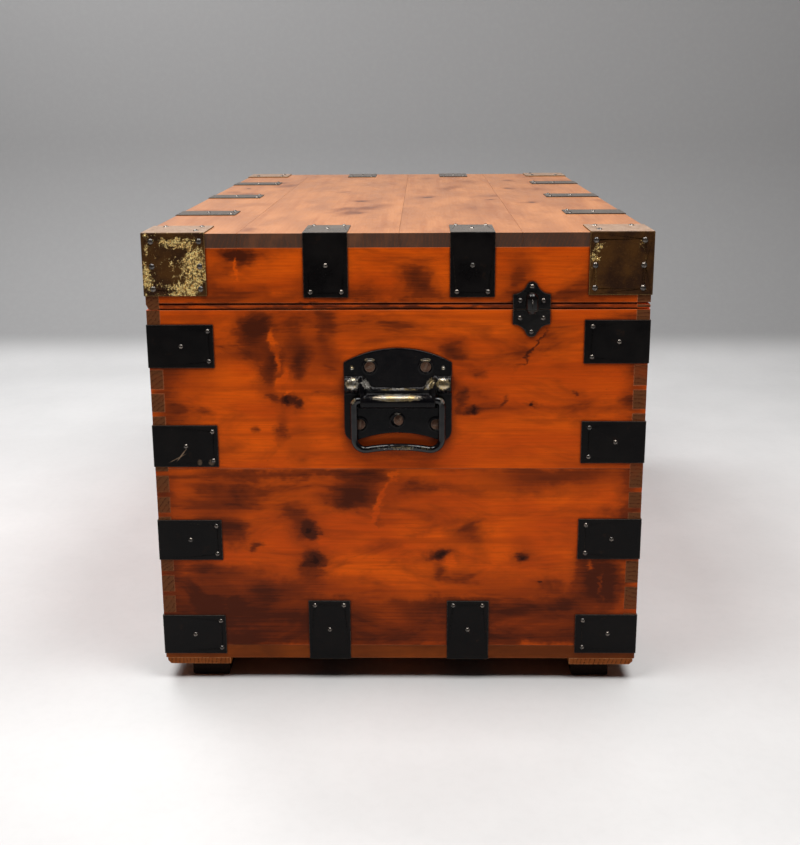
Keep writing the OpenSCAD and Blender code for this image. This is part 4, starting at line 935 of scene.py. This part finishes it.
def sweep():
    """One sheet of pale paper: the floor, and a bend behind the chest up to the backdrop, which is coloured
    darker as painted shade.
    """
    bend_x, bend_r, height = 1.25, 0.55, 3.4
    profile = [(-5.0, 0.0), (-2.0, 0.0), (0.0, 0.0), (bend_x, 0.0)]
    profile += [(bend_x + bend_r * math.sin(math.radians(a)), bend_r * (1 - math.cos(math.radians(a))))
                for a in range(6, 91, 6)]
    profile.append((bend_x + bend_r, height))
    ys = [-5.0, -1.5, 0.0, 1.5, 5.0]
    verts = [(x, y, z) for x, z in profile for y in ys]
    n = len(ys)
    faces = [(i * n + j, (i + 1) * n + j, (i + 1) * n + j + 1, i * n + j + 1)
             for i in range(len(profile) - 1) for j in range(n - 1)]
    obj = link_mesh("paper_sweep", verts, [f[::-1] for f in faces])
    g = Graph("paper")
    mottle = g.noise(g.position, 2.2, 4.0, 0.6)
    grain = g.noise(g.position, 70.0, 3.0, 0.6)
    tone = g.mix(g.remap(mottle, 0.3, 0.7), (0.61, 0.61, 0.614), (0.67, 0.67, 0.674))
    # Painted shade: the paper is darker from just above the floor, up the bend and the backdrop, where less
    # light falls
    tone = g.mix(g.remap(g.part(g.position, 2), 0.0, 0.055), tone, (0.32, 0.32, 0.324))
    tone = g.mix(g.remap(grain, 0.4, 0.7, 0.0, 0.06), tone, (0.46, 0.46, 0.46))
    g.shader(base_color=tone, roughness=0.62, specular_ior_level=0.3)
    obj.data.materials.append(g.material)
    return obj


sweep()

# ---- Lights ----


def softbox(name, place, target, size, power, colour=(1.0, 1.0, 1.0)):
    """A rectangular lamp at a place, turned to a target."""
    light = bpy.data.lights.new(name, "AREA")
    light.shape = "RECTANGLE"
    light.size, light.size_y = size
    light.energy = power
    light.color = colour
    obj = bpy.data.objects.new(name, light)
    obj.location = place
    obj.rotation_mode = "QUATERNION"
    obj.rotation_quaternion = (Vector(target) - Vector(place)).to_track_quat("-Z", "Y")
    bpy.context.collection.objects.link(obj)


WARM = (1.0, 0.985, 0.965)
# Two lamps hang high outside the left end, which the camera sees, and two beyond the far end
softbox("left_top", (-0.70, 0.64, 2.15), (-0.70, 0.4, 0.0), (1.4, 0.9), 35.0, WARM)
softbox("right_top", (-0.70, -0.64, 2.15), (-0.70, -0.4, 0.0), (1.4, 0.9), 42.0, WARM)
softbox("back_left", (0.95, 1.1, 2.2), (0.95, 1.0, 0.0), (0.9, 1.0), 30.0)
softbox("back_right", (0.90, -0.9, 2.2), (0.90, -0.8, 0.0), (0.9, 1.0), 7.0)

world = bpy.data.worlds.new("studio")
bpy.context.scene.world = world
world.use_nodes = True
world.node_tree.nodes["Background"].inputs["Color"].default_value = (0.80, 0.82, 0.85, 1.0)
world.node_tree.nodes["Background"].inputs["Strength"].default_value = 0.02

# ---- Camera ----

CAMERA_PLACE = (-1.8853, -0.0281, 0.6996)
LENS_MM = 53.39
SENSOR_MM = 36.0
# Turn from +X towards +Y, tilt down and lean
yaw, pitch, roll = math.radians(1.058), math.radians(14.98), math.radians(-0.328)
forward = Vector((math.cos(yaw) * math.cos(pitch), math.sin(yaw) * math.cos(pitch), -math.sin(pitch)))
level = forward.cross(Vector((0, 0, 1))).normalized()
upright = level.cross(forward)
right = math.cos(roll) * level + math.sin(roll) * upright
up = math.cos(roll) * upright - math.sin(roll) * level
camera_data = bpy.data.cameras.new("camera")
camera_data.sensor_width = SENSOR_MM
camera_data.lens = LENS_MM
camera_data.clip_start = 0.05
camera = bpy.data.objects.new("camera", camera_data)
turned = Matrix((right, up, -forward)).transposed().to_4x4()
camera.matrix_world = Matrix.Translation(CAMERA_PLACE) @ turned
bpy.context.collection.objects.link(camera)
bpy.context.scene.camera = camera
bpy.context.scene.view_settings.view_transform = "Standard"
